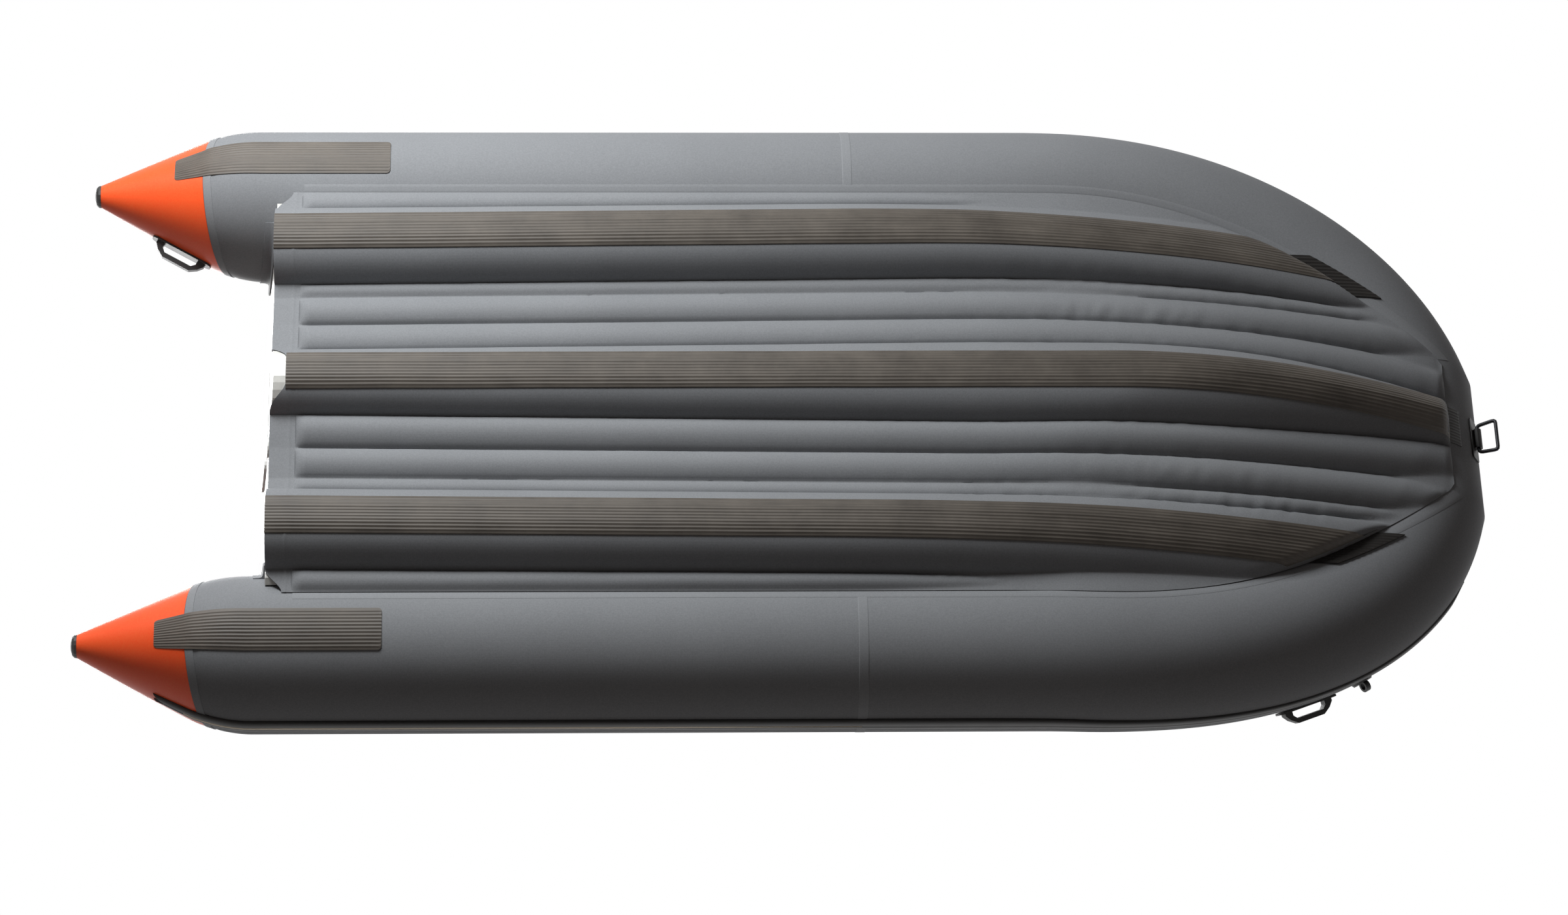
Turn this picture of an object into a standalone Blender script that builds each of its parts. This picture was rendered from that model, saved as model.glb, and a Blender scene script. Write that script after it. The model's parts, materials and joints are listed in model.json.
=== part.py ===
# Inflatable boat with a three-keel air floor, upright, bow along +X and port side along +Y.
# A station is a distance forward of the stern tips. Height 0 is the underside of the keel strips.
import math

import bmesh
import bpy
from mathutils import Matrix, Vector

# Clearances
SEAT_GAP = 0.0004
JOINT_GAP = 0.0006
RUNNING_GAP = 0.0008
TWIST_GAP = 0.0012
CUT_OVERRUN = 0.010
WELD = 0.000001

# Hull tubes
HULL_LENGTH = 3.663
TUBE_RADIUS = 0.200
TUBE_SPACING = 1.360
TUBE_HEIGHT = 0.286
TUBE_SIDES = 32
CONE_LENGTH = 0.305
CONE_DROP = 0.052
CONE_DROP_POWER = 1.3
CONE_TIP_RADIUS = 0.0225
CONE_BASE_SHARE = 0.86
CONE_RING_SHARES = (0.45, 0.90)
SHOULDER_LENGTH = 0.145
SHOULDER_SHARES = (0.30, 0.65)
TIP_CAP_LENGTH = 0.0155
TIP_CAP_SIDES = 16
TIP_CAP_SHARES = ((0.0, 0.45), (0.22, 0.80), (0.60, 0.97), (1.0, 1.0))
CHAMBER_STATION = 1.990

# Bow of the hull tubes
SHEER_START = 2.450
CURVE_START = 2.550
CURVE_REACH_SHARE = 0.976471
CURVE_FULLNESS = 2.15
CURVE_STEPS = 8
BOW_RISE = 0.180
SHEER_POWER = 1.7

# Air floor: seams as shares of the half spacing of the tubes and of the keel depth,
# which is itself a share of the height of the laps on the tubes
KEEL_DEPTH_SHARE = 0.92581
SEAM_SHARES = ((0.140, 0.81), (0.272, 0.99), (0.399, 1.07), (0.457, 1.00), (0.794, 1.00))
RIB_SAG = 0.017
OUTER_RIB_SAG = 0.012
KEEL_FLAT = 0.040
KEEL_OUTER_SHARES = (0.40, 0.80)
RIB_SHARES = (0.25, 0.50, 0.75)
OUTER_RIB_SHARES = (0.33, 0.67)
FLOOR_SETBACK = 0.275
RIB_RUNOUT = 0.060
RIB_RUNOUT_SHARES = (0.0, 0.33, 1.0)
RIB_RUNOUT_POWER = 0.5
KEEL_ROCKER_STEPS = 4
CENTRE_RISE_STATION = 2.750
SIDE_RISE_STATION = 2.000
SIDE_END_STATION = 3.280
CENTRE_END_RISE = 0.270
SIDE_END_RISE = 0.220
CENTRE_RISE_POWER = 1.8
SIDE_RISE_POWER = 2.4
KEEL_FADE = 0.80
KEEL_REACH_SHARE = 1.15
LAP_ANGLE = 22.5
NOSE_LAP_ANGLE = -28.0
LAP_TURN_POWER = 1.2
LAP_LIFT = 0.003
DECK_STEPS = 5
DECK_SAG = 0.007
DECK_SHARES = (0.5,)
DECK_KEEL_SHARES = (0.25, 0.50, 0.75)

# Strips and patches
STRIP_WIDTH = 0.108
STRIP_THICKNESS = 0.003
SKIRT_THICKNESS = 0.0035
SKIRT_SETBACK = 0.185
SKIRT_NOTCH = 0.042
SKIRT_CORNER_STEP = 0.035
PATCH_THICKNESS = 0.0025
PATCH_MARGIN = 2.5
SIDE_PATCH_ANGLE = -38.0
NOSE_PATCH_ANGLE = -46.0
NOSE_PATCH_WIDTH = 0.104
SKID_START_STATION = 0.215
SKID_END_STATION = 0.785
SKID_ANGLES = (-25.0, -22.5, -11.25, 0.0, 7.0)
SKID_THICKNESS = 0.003

# Rub strakes on the outer sides
STRAKE_ANGLES = (-97.4, -93.8, -90.0, -86.2, -82.6)
STRAKE_CROWN = 0.0115
STRAKE_CROWN_SHARES = (0.22, 0.90, 1.0, 0.90, 0.22)
STRAKE_START_STATION = 0.205
STRAKE_NOTCH = 0.030
STRAKE_END_STEPS = 1

# Transom
TRANSOM_SETBACK = 0.187
TRANSOM_THICKNESS = 0.033
TRANSOM_RAKE = 6.0
TRANSOM_TOP = 0.465
TRANSOM_CUT_TOP = 0.400
TRANSOM_CUT_HALF = 0.190
TRANSOM_CUT_SLOPE = 0.055
TRANSOM_TOP_HALF = 0.500
HOLDER_START_STEP = 4
HOLDER_END_STEP = 12
HOLDER_THICKNESS = 0.004
HOLDER_FOOT = 0.025
HOLDER_LIP = 0.036
OUTER_PLATE_HALF = 0.150
OUTER_PLATE_BOTTOM = 0.250
INNER_PLATE_HALF = 0.120
INNER_PLATE_BOTTOM = 0.290
PLATE_TOP_MARGIN = 0.012
PLATE_THICKNESS = 0.006
PLATE_CORNER = 0.020

# Drain through the transom
DRAIN_OFFSET = 0.155
DRAIN_RISE = 0.0519
DRAIN_TUBE_RADIUS = 0.0150
DRAIN_BORE_RADIUS = 0.0110
DRAIN_FLANGE_RADIUS = 0.0270
DRAIN_FLANGE_THICKNESS = 0.004
DRAIN_PROUD = 0.005
PLUG_HEAD_RADIUS = 0.019
PLUG_HEAD_THICKNESS = 0.006
PLUG_STEM_LENGTH = 0.020
PLUG_KNOB_RADIUS = 0.008
PLUG_KNOB_LENGTH = 0.012
DRAIN_SIDES = 16

# Air valves
VALVE_STATION = 0.880
BOW_VALVE_SETBACK = 0.210
FLOOR_VALVE_STATION = 0.760
VALVE_FACET = 10
VALVE_SIDES = 16
VALVE_CUP_RADIUS = 0.0240
VALVE_BORE_RADIUS = 0.0170
VALVE_CUP_DEPTH = 0.034
VALVE_FLANGE_RADIUS = 0.0330
VALVE_FLANGE_THICKNESS = 0.004
VALVE_SEAT_RADIUS = 0.0090
VALVE_SEAT_THICKNESS = 0.004
VALVE_POCKET_DEPTH = 0.055
PLUNGER_TRAVEL = 0.005
PLUNGER_STEM_RADIUS = 0.0040
PLUNGER_BUTTON_RADIUS = 0.0085
PLUNGER_DISC_RADIUS = 0.0140
PLUNGER_DISC_THICKNESS = 0.003
PLUNGER_BUTTON_THICKNESS = 0.005
PLUNGER_SIDES = 12
CAP_RADIUS = 0.0300
CAP_THICKNESS = 0.006
CAP_SKIRT_DEPTH = 0.010
CAP_SKIRT_WALL = 0.003
CAP_GRIP_LENGTH = 0.040
CAP_GRIP_WIDTH = 0.007
CAP_GRIP_HEIGHT = 0.007

# Carrying handles
HANDLE_BASE_LENGTH = 0.172
HANDLE_BASE_WIDTH = 0.048
HANDLE_BASE_THICKNESS = 0.005
HANDLE_BASE_CORNER = 0.014
HANDLE_WIDTH = 0.022
HANDLE_GAP_LENGTH = 0.098
HANDLE_GAP_HEIGHT = 0.024
HANDLE_BAR = 0.013
HANDLE_FOOT = 0.022
HANDLE_EAR = 0.010
CONE_HANDLE_FACET = 9
CONE_HANDLE_SHIFT = 0.020
BOW_HANDLE_FACET = -11
BOW_HANDLE_SHIFT = -0.020

# Rope eyes
EYE_FACET = -10
EYE_SHIFT = -0.024
EYE_BASE_RADIUS = 0.030
EYE_BASE_THICKNESS = 0.007
EYE_OUTER_RADIUS = 0.0155
EYE_BORE_RADIUS = 0.009
EYE_WIDTH = 0.014
EYE_SIDES = 18

# Bow ring
STRAP_FACET = -6
STRAP_BASE_WIDTH = 0.120
STRAP_BASE_HEIGHT = 0.044
STRAP_BASE_THICKNESS = 0.003
STRAP_BARREL_LENGTH = 0.056
STRAP_BARREL_RADIUS = 0.0105
RING_WIRE_RADIUS = 0.0050
RING_HINGE_HALF = 0.040
RING_OUTER_HALF = 0.045
RING_DEPTH = 0.052
RING_CORNER = 0.010
RING_CORNER_STEPS = 3
RING_SIDES = 10

# Oarlocks
OARLOCK_STATION = 1.650
OARLOCK_BASE_RADIUS = 0.050
OARLOCK_BASE_THICKNESS = 0.008
OARLOCK_BOSS_RADIUS = 0.019
OARLOCK_BOSS_HEIGHT = 0.030
OARLOCK_PIN_RADIUS = 0.0080
OARLOCK_PIN_CLEARANCE = 0.0005
OARLOCK_FORK_GAP = 0.052
OARLOCK_FORK_ARM = 0.010
OARLOCK_FORK_HEIGHT = 0.082
OARLOCK_FORK_DEPTH = 0.018
OARLOCK_SIDES = 18

# Seat rails and benches
RAIL_FACET = 12
RAIL_START_STATION = 0.700
RAIL_END_STATION = 2.430
RAIL_BASE_WIDTH = 0.030
RAIL_BASE_THICKNESS = 0.0025
RAIL_NECK_WIDTH = 0.006
RAIL_NECK_HEIGHT = 0.006
RAIL_BEAD_RADIUS = 0.0055
BEAD_SINK_SHARE = 0.75
BEAD_STEPS = 10
CLIP_WIDTH = 0.034
CLIP_WALL = 0.006
CLIP_LENGTH = 0.150
BENCH_AFT_STATION = 1.180
BENCH_FORE_STATION = 2.070
BENCH_WIDTH = 0.220
BENCH_THICKNESS = 0.018
BENCH_END_INSET = 0.105
BENCH_CORNER = 0.030

# Values worked out from the sizes above
HALF_SPACING = TUBE_SPACING / 2
BOW_VALVE_STATION = CHAMBER_STATION + BOW_VALVE_SETBACK
BENCH_HALF_SPAN = HALF_SPACING - BENCH_END_INSET
NOSE_STATION = HULL_LENGTH - TUBE_RADIUS
STEP_ANGLE = 360 / TUBE_SIDES
DECK_ANGLE = DECK_STEPS * STEP_ANGLE
FACET_RADIUS = TUBE_RADIUS * math.cos(math.radians(STEP_ANGLE / 2))
FLOOR_LIFT = STRIP_THICKNESS + SEAT_GAP
LAP_HEIGHT = TUBE_HEIGHT - (TUBE_RADIUS + LAP_LIFT) * math.cos(math.radians(LAP_ANGLE)) - FLOOR_LIFT
KEEL_DEPTH = KEEL_DEPTH_SHARE * LAP_HEIGHT
DRAIN_HEIGHT = KEEL_DEPTH + DRAIN_RISE
FLOOR_AFT_STATION = CONE_LENGTH + FLOOR_SETBACK
SKIRT_AFT_STATION = CONE_LENGTH + SKIRT_SETBACK
TRANSOM_STATION = CONE_LENGTH + TRANSOM_SETBACK
STRAP_HINGE_HEIGHT = SEAT_GAP + STRAP_BASE_THICKNESS / 2 + STRAP_BARREL_RADIUS
STRAP_ANGLE = math.radians((STRAP_FACET + 0.5) * STEP_ANGLE)
RING_REACH = NOSE_STATION + RING_WIRE_RADIUS + abs(math.sin(STRAP_ANGLE)) * (
    FACET_RADIUS + STRAP_HINGE_HEIGHT + RING_DEPTH
)
ORIGIN_STATION = RING_REACH / 2
RAKE = math.tan(math.radians(TRANSOM_RAKE))


# Small helpers

def linear(channel):
    if channel <= 0.04045:
        return channel / 12.92
    return ((channel + 0.055) / 1.055) ** 2.4


def material(name, colour, roughness, metallic=0.0):
    found = bpy.data.materials.get(name)
    if found:
        return found
    made = bpy.data.materials.new(name)
    made.use_nodes = True
    shader = made.node_tree.nodes["Principled BSDF"]
    channels = [linear(int(colour[i:i + 2], 16) / 255) for i in (0, 2, 4)]
    shader.inputs["Base Color"].default_value = (*channels, 1.0)
    shader.inputs["Roughness"].default_value = roughness
    shader.inputs["Metallic"].default_value = metallic
    return made


def hull_fabric():
    return material("hull_fabric", "6B6E74", 0.62)


def cone_fabric():
    return material("cone_fabric", "FF5020", 0.55)


def ribbed_rubber():
    return material("ribbed_rubber", "5A534C", 0.70)


def black_rubber():
    return material("black_rubber", "1B1A1A", 0.60)


def marine_plywood():
    return material("marine_plywood", "C9CBC8", 0.45)


def bench_plywood():
    return material("bench_plywood", "8A8D8E", 0.50)


def black_plastic():
    return material("black_plastic", "202022", 0.40)


def white_plastic():
    return material("white_plastic", "D5D6D4", 0.45)


def grey_plastic():
    return material("grey_plastic", "74777A", 0.45)


def stainless_steel():
    return material("stainless_steel", "A9A9A8", 0.28, 1.0)


def blend(first, second, share):
    return first + (second - first) * share


def finish(name, mesh, surface, origin=None, smooth_angle=40):
    """Weld, orient and shade a mesh, and make it an object whose origin lies at the given point."""
    bmesh.ops.remove_doubles(mesh, verts=mesh.verts, dist=WELD)
    bmesh.ops.recalc_face_normals(mesh, faces=mesh.faces)
    if mesh.calc_volume(signed=True) < 0:
        bmesh.ops.reverse_faces(mesh, faces=mesh.faces)
    place = Vector(origin) if origin is not None else Vector((0, 0, 0))
    bmesh.ops.translate(mesh, vec=-place, verts=mesh.verts)
    data = bpy.data.meshes.new(name)
    mesh.to_mesh(data)
    mesh.free()
    data.shade_smooth()
    data.set_sharp_from_angle(angle=math.radians(smooth_angle))
    data.materials.append(surface)
    made = bpy.data.objects.new(name, data)
    made.location = place
    bpy.context.collection.objects.link(made)
    return made


def hide_cutter(cutter):
    cutter.hide_render = True
    cutter.display_type = "WIRE"


def cut(target, cutter, operation="DIFFERENCE"):
    change = target.modifiers.new(cutter.name, "BOOLEAN")
    change.operation = operation
    change.solver = "EXACT"
    change.object = cutter
    hide_cutter(cutter)


def add_quad(mesh, a, b, c, d, crossed=False):
    """Two triangles, which share the diagonal a to c, or b to d when crossed."""
    for corners in (((a, b, d), (b, c, d)) if crossed else ((a, b, c), (a, c, d))):
        if len(set(corners)) == 3:
            mesh.faces.new(corners)


def add_grid(mesh, rows, crossed_rows=(), wrap=False):
    for j in range(len(rows) - 1):
        near, far = rows[j], rows[j + 1]
        count = len(near) if wrap else len(near) - 1
        for k in range(count):
            after = (k + 1) % len(near)
            add_quad(mesh, near[k], near[after], far[after], far[k], j in crossed_rows)


def vertex_rows(mesh, rows):
    return [[mesh.verts.new(point) for point in row] for row in rows]


def loft(name, rings, surface, crossed_rows=(), origin=None, smooth_angle=40):
    """A closed body through rings of points, with a flat face at each end."""
    mesh = bmesh.new()
    rows = vertex_rows(mesh, rings)
    add_grid(mesh, rows, crossed_rows, wrap=True)
    ends = [mesh.faces.new(rows[0]), mesh.faces.new(rows[-1])]
    mesh.normal_update()
    bmesh.ops.triangulate(mesh, faces=ends, ngon_method="EAR_CLIP")
    return finish(name, mesh, surface, origin, smooth_angle)


def sheet_body(name, lower, upper, surface, smooth_angle=40):
    """A thin closed body between two grids of points with the same rows and columns."""
    mesh = bmesh.new()
    below = vertex_rows(mesh, lower)
    above = vertex_rows(mesh, upper)
    add_grid(mesh, below)
    add_grid(mesh, above)
    for side in (0, -1):
        add_grid(mesh, [[row[side] for row in below], [row[side] for row in above]])
        add_grid(mesh, [below[side], above[side]])
    return finish(name, mesh, surface, smooth_angle=smooth_angle)


def prism(name, outline, depth, frame, surface, origin=None):
    """An outline in the frame's first two axes, extruded both ways along its third."""
    mesh = bmesh.new()
    near = [mesh.verts.new(frame @ Vector((u, v, -depth / 2))) for u, v in outline]
    face = mesh.faces.new(near)
    grown = bmesh.ops.extrude_face_region(mesh, geom=[face])
    moved = [item for item in grown["geom"] if isinstance(item, bmesh.types.BMVert)]
    bmesh.ops.translate(mesh, vec=frame.to_3x3() @ Vector((0, 0, depth)), verts=moved)
    return finish(name, mesh, surface, origin, smooth_angle=30)


def turned(name, profile, sides, frame, surface, origin=None):
    """A profile of radii and heights, spun about the frame's third axis."""
    mesh = bmesh.new()
    points = [mesh.verts.new((radius, 0, height)) for radius, height in profile]
    closed = profile[0][0] > 0
    pairs = list(zip(points, points[1:] + points[:1])) if closed else list(zip(points, points[1:]))
    edges = [mesh.edges.new(pair) for pair in pairs]
    bmesh.ops.spin(
        mesh, geom=points + edges, cent=(0, 0, 0), axis=(0, 0, 1), dvec=(0, 0, 0),
        angle=math.tau, steps=sides, use_merge=True, use_duplicate=False,
    )
    bmesh.ops.transform(mesh, matrix=frame, verts=mesh.verts)
    return finish(name, mesh, surface, origin, smooth_angle=35)


def corner_points(half_u, half_v, corner, steps=3):
    """A rectangle with round corners, as an outline."""
    points = []
    for quarter, (su, sv) in enumerate(((1, 1), (-1, 1), (-1, -1), (1, -1))):
        for step in range(steps + 1):
            angle = math.radians(90 * (quarter + step / steps))
            u = su * (half_u - corner) + corner * math.cos(angle)
            v = sv * (half_v - corner) + corner * math.sin(angle)
            points.append((u, v))
    return points


# Hull tube sections: a centre, a level inward direction and a radius

class Section:
    def __init__(self, centre, inward, radius):
        self.centre = centre
        self.inward = inward
        self.radius = radius

    def point(self, degrees, lift=0.0):
        """The point at an angle from the tube's lowest line, positive inboard."""
        angle = math.radians(degrees)
        reach = self.radius + lift
        return self.centre + self.inward * (reach * math.sin(angle)) - Vector((0, 0, reach * math.cos(angle)))

    def mirrored(self):
        flip = Vector((1, -1, 1))
        return Section(self.centre * flip, self.inward * flip, self.radius)


def world_x(station):
    return station - ORIGIN_STATION


def sheer(station):
    if station <= SHEER_START:
        return 0.0
    return BOW_RISE * ((station - SHEER_START) / (NOSE_STATION - SHEER_START)) ** SHEER_POWER


def radius_at(station):
    """The tube's radius, which swells out of the cone and over a round shoulder."""
    base = TUBE_RADIUS * CONE_BASE_SHARE
    if station <= CONE_LENGTH:
        return blend(CONE_TIP_RADIUS, base, station / CONE_LENGTH)
    if station >= CONE_LENGTH + SHOULDER_LENGTH:
        return TUBE_RADIUS
    rest = 1 - (station - CONE_LENGTH) / SHOULDER_LENGTH
    return TUBE_RADIUS - (TUBE_RADIUS - base) * rest ** 2


def straight_section(station):
    drop = CONE_DROP * max(0.0, 1 - station / (CONE_LENGTH + SHOULDER_LENGTH)) ** CONE_DROP_POWER
    centre = Vector((world_x(station), HALF_SPACING, TUBE_HEIGHT - drop + sheer(station)))
    return Section(centre, Vector((0, -1, 0)), radius_at(station))


def curve_points():
    """Plan of the port half of the bow, from the start of the curve to the nose corner."""
    reach = (NOSE_STATION - CURVE_START) / CURVE_REACH_SHARE
    last = math.asin(CURVE_REACH_SHARE ** (CURVE_FULLNESS / 2))
    points = []
    for step in range(CURVE_STEPS + 1):
        angle = last * step / CURVE_STEPS
        station = CURVE_START + reach * math.sin(angle) ** (2 / CURVE_FULLNESS)
        side = HALF_SPACING * math.cos(angle) ** (2 / CURVE_FULLNESS)
        points.append(Vector((world_x(station), side, TUBE_HEIGHT + sheer(station))))
    return points


def bow_sections():
    """Mitred sections of the port half of the bow, the last one at the nose corner."""
    points = curve_points()
    before = points[0] - Vector((TUBE_RADIUS, 0, 0))
    after = points[-1] - Vector((0, TUBE_RADIUS, 0))
    route = [before] + points + [after]
    sections = []
    for i in range(1, len(route) - 1):
        arrive = (route[i] - route[i - 1]).to_2d().normalized()
        leave = (route[i + 1] - route[i]).to_2d().normalized()
        middle = (arrive + leave).normalized()
        stretch = 1 / middle.dot(arrive)
        inward = Vector((middle.y, -middle.x, 0)) * stretch
        sections.append(Section(route[i], inward, TUBE_RADIUS))
    return sections


BOW_SECTIONS = bow_sections()
RING_ANGLES = [step * STEP_ANGLE for step in range(TUBE_SIDES)]


def facet_frame(first, second, facet, lift=0.0):
    """A frame on one flat facet of the tube: X along the tube, Z outwards."""
    near, far = facet * STEP_ANGLE, (facet + 1) * STEP_ANGLE
    a = (first.point(near) + first.point(far)) / 2
    b = (second.point(near) + second.point(far)) / 2
    along = (b - a).normalized()
    across = first.point(far) - first.point(near)
    out = along.cross(across).normalized()
    middle = (a + b) / 2
    centre = (first.centre + second.centre) / 2
    if out.dot(middle - centre) < 0:
        out = -out
    side = out.cross(along).normalized()
    frame = Matrix((along, side, out)).transposed().to_4x4()
    frame.translation = middle + out * lift
    return frame


# Hull tubes, cones and their tips

def shoulder_stations():
    return [CONE_LENGTH + SHOULDER_LENGTH * share for share in SHOULDER_SHARES]


def aft_stations():
    ends = [CONE_LENGTH + SHOULDER_LENGTH, CHAMBER_STATION - JOINT_GAP / 2]
    return [CONE_LENGTH] + shoulder_stations() + ends


def cone_stations():
    inner = [TIP_CAP_LENGTH + (CONE_LENGTH - TIP_CAP_LENGTH) * share for share in CONE_RING_SHARES]
    return [TIP_CAP_LENGTH] + inner + [CONE_LENGTH]


def ring(section):
    return [section.point(angle) for angle in RING_ANGLES]


def sided(section, side):
    return section if side > 0 else section.mirrored()


def add_tube(side_name, side):
    sections = [sided(straight_section(station), side) for station in aft_stations()]
    return loft(f"tube_{side_name}", [ring(section) for section in sections], hull_fabric())


def add_bow_tube():
    port = [straight_section(station) for station in (CHAMBER_STATION + JOINT_GAP / 2, SHEER_START)]
    port += BOW_SECTIONS
    starboard = [section.mirrored() for section in reversed(port)]
    crossed = set(range(len(port), 2 * len(port)))
    return loft("tube_bow", [ring(section) for section in port + starboard], hull_fabric(), crossed)


def add_cone(side_name, side):
    sections = [sided(straight_section(station), side) for station in cone_stations()]
    rings = [ring(section) for section in sections]
    rings[-1] = [point - Vector((JOINT_GAP, 0, 0)) for point in rings[-1]]
    return loft(f"cone_{side_name}", rings, cone_fabric())


def add_cone_tip(side_name, side):
    base = sided(straight_section(TIP_CAP_LENGTH), side)
    rings = []
    for depth_share, radius_share in TIP_CAP_SHARES:
        x = world_x(depth_share * (TIP_CAP_LENGTH - SEAT_GAP))
        circle = []
        for step in range(TIP_CAP_SIDES):
            angle = math.tau * step / TIP_CAP_SIDES
            reach = base.radius * radius_share
            y = base.centre.y + reach * math.sin(angle)
            z = base.centre.z - reach * math.cos(angle)
            circle.append(Vector((x, y, z)))
        rings.append(circle)
    return loft(f"cone_tip_{side_name}", rings, black_rubber(), smooth_angle=60)


# Air floor

def seam_sizes():
    return [(HALF_SPACING * y, KEEL_DEPTH * z) for y, z in SEAM_SHARES]


def arc_height(offset, half_width, depth):
    """Height above the lowest point of a round keel of the given half width and depth."""
    radius = (half_width ** 2 + depth ** 2) / (2 * depth)
    return radius - math.sqrt(max(0.0, radius ** 2 - offset ** 2))


def keel_height(offset, half_width, depth):
    flat = arc_height(KEEL_FLAT / 2, half_width, depth)
    raised = arc_height(max(abs(offset), KEEL_FLAT / 2), half_width, depth)
    return (raised - flat) * depth / (depth - flat)


def rib_height(y, inner, outer, sag):
    share = (y - inner[0]) / (outer[0] - inner[0])
    return blend(inner[1], outer[1], share) - sag * 4 * share * (1 - share)


def section_height(y, rib_share):
    """Underside of the floor above its keels, before the bow rises."""
    y = abs(y)
    seams = seam_sizes()
    if y <= seams[0][0]:
        return keel_height(y, seams[0][0], seams[0][1])
    if y <= seams[1][0]:
        return rib_height(y, seams[0], seams[1], RIB_SAG * rib_share)
    if y <= seams[2][0]:
        return rib_height(y, seams[1], seams[2], RIB_SAG * rib_share)
    if y <= seams[3][0]:
        return rib_height(y, seams[2], seams[3], 0)
    if y <= seams[4][0]:
        middle, half = side_keel()
        return keel_height(y - middle, half, seams[3][1])
    lap = (HALF_SPACING - (TUBE_RADIUS + LAP_LIFT) * math.sin(math.radians(LAP_ANGLE)), LAP_HEIGHT)
    if y >= lap[0]:
        return lap[1]
    return rib_height(y, seams[4], lap, OUTER_RIB_SAG * rib_share)


def side_keel():
    """Centre line and half width of a side keel."""
    seams = seam_sizes()
    return (seams[3][0] + seams[4][0]) / 2, (seams[4][0] - seams[3][0]) / 2


def underside(station, y, rib_share=1.0):
    """Height of the floor's underside, with the rise of each keel toward the bow."""
    share = abs(y) / side_keel()[0]
    start = blend(CENTRE_RISE_STATION, SIDE_RISE_STATION, share)
    end = blend(nose_edge_station(), SIDE_END_STATION, share)
    top = blend(CENTRE_END_RISE, SIDE_END_RISE, share)
    power = blend(CENTRE_RISE_POWER, SIDE_RISE_POWER, share)
    way = min(KEEL_REACH_SHARE, max(0.0, (station - start) / (end - start)))
    fade = 1 - KEEL_FADE * min(1.0, way) ** 2
    return FLOOR_LIFT + top * way ** power + section_height(y, rib_share) * fade


def nose_edge_station():
    return NOSE_STATION - (TUBE_RADIUS + LAP_LIFT) * math.sin(math.radians(NOSE_LAP_ANGLE))


def keel_offsets(half_width):
    """Offsets of the lengthwise edges on one side of a keel."""
    flat, edge = KEEL_FLAT / 2, STRIP_WIDTH / 2
    outer = [blend(edge, half_width, share) for share in KEEL_OUTER_SHARES]
    return [flat, (flat + edge) / 2, edge] + outer


def half_columns():
    """Places of the floor's lengthwise edges on the port side, from the middle outwards."""
    seams = [y for y, _ in seam_sizes()]
    middle, half = side_keel()
    columns = keel_offsets(seams[0]) + [seams[0]]
    for inner, outer in zip(seams[:2], seams[1:3]):
        columns += [blend(inner, outer, share) for share in RIB_SHARES] + [outer]
    columns.append(seams[3])
    offsets = keel_offsets(half)
    columns += [middle - offset for offset in reversed(offsets)]
    columns += [middle + offset for offset in offsets]
    columns.append(seams[4])
    lap = HALF_SPACING - TUBE_RADIUS * math.sin(math.radians(LAP_ANGLE))
    columns += [blend(seams[4], lap, share) for share in OUTER_RIB_SHARES]
    return columns


def all_columns():
    half = half_columns()
    return [y for y in reversed(half)] + [-y for y in half]


def deck_columns():
    seams = [0.0] + [y for y, _ in seam_sizes()]
    half = []
    for i, (inner, outer) in enumerate(zip(seams, seams[1:])):
        if i == 3:
            shares = ()
        elif i == 4:
            shares = DECK_KEEL_SHARES
        else:
            shares = DECK_SHARES
        half += [blend(inner, outer, share) for share in shares] + [outer]
    return [y for y in reversed(half)] + [-y for y in half]


def deck_crown(y):
    """Swell of the deck between two seams."""
    y = abs(y)
    seams = [0.0] + [at for at, _ in seam_sizes()]
    for inner, outer in zip(seams, seams[1:]):
        if y <= outer:
            share = (y - inner) / (outer - inner)
            return DECK_SAG * 4 * share * (1 - share)
    return 0.0


class FloorRow:
    """One row across the floor: its section of the tube, lap angle and the share of its ribs."""

    def __init__(self, section, lap_angle, rib_share):
        self.section = section
        self.lap_angle = lap_angle
        self.rib_share = rib_share
        self.crown = 1.0
        self.lap = section.point(lap_angle, LAP_LIFT)
        self.deck = section.point(DECK_ANGLE, SEAT_GAP)
        self.station = self.lap.x + ORIGIN_STATION

    def bottom(self, y):
        """The underside's point at a distance y to port, which the lap cuts off."""
        side = math.copysign(1, y)
        if abs(y) > self.lap.y - 2 * LAP_LIFT:
            return Vector((self.lap.x, side * self.lap.y, self.lap.z))
        limit = self.lap.z - SEAT_GAP
        if self.lap_angle < 0:
            limit = self.section.centre.z - TUBE_RADIUS - 2 * LAP_LIFT
        height = min(underside(self.station, y, self.rib_share), limit)
        return Vector((self.lap.x, y, height))

    def top(self, y):
        side = math.copysign(1, y)
        if abs(y) > self.deck.y - 2 * LAP_LIFT:
            return Vector((self.deck.x, side * self.deck.y, self.deck.z))
        return Vector((self.deck.x, y, self.deck.z + deck_crown(y) * self.crown))

    def wall(self):
        """Port side wall against the tube, from the lap up to the deck."""
        points = [self.lap]
        step = math.ceil(self.lap_angle / STEP_ANGLE + SEAT_GAP)
        lowest = math.ceil(NOSE_LAP_ANGLE / STEP_ANGLE)
        for k in range(lowest, DECK_STEPS + 1):
            points.append(self.section.point(k * STEP_ANGLE, SEAT_GAP) if k >= step else self.lap)
        return points

    def loop(self):
        wall = self.wall()
        flip = Vector((1, -1, 1))
        under = [self.bottom(y) for y in all_columns()]
        over = [self.top(y) for y in reversed(deck_columns())]
        starboard = [point * flip for point in wall]
        port = [point.copy() for point in reversed(wall)]
        return under, starboard, over, port


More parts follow.
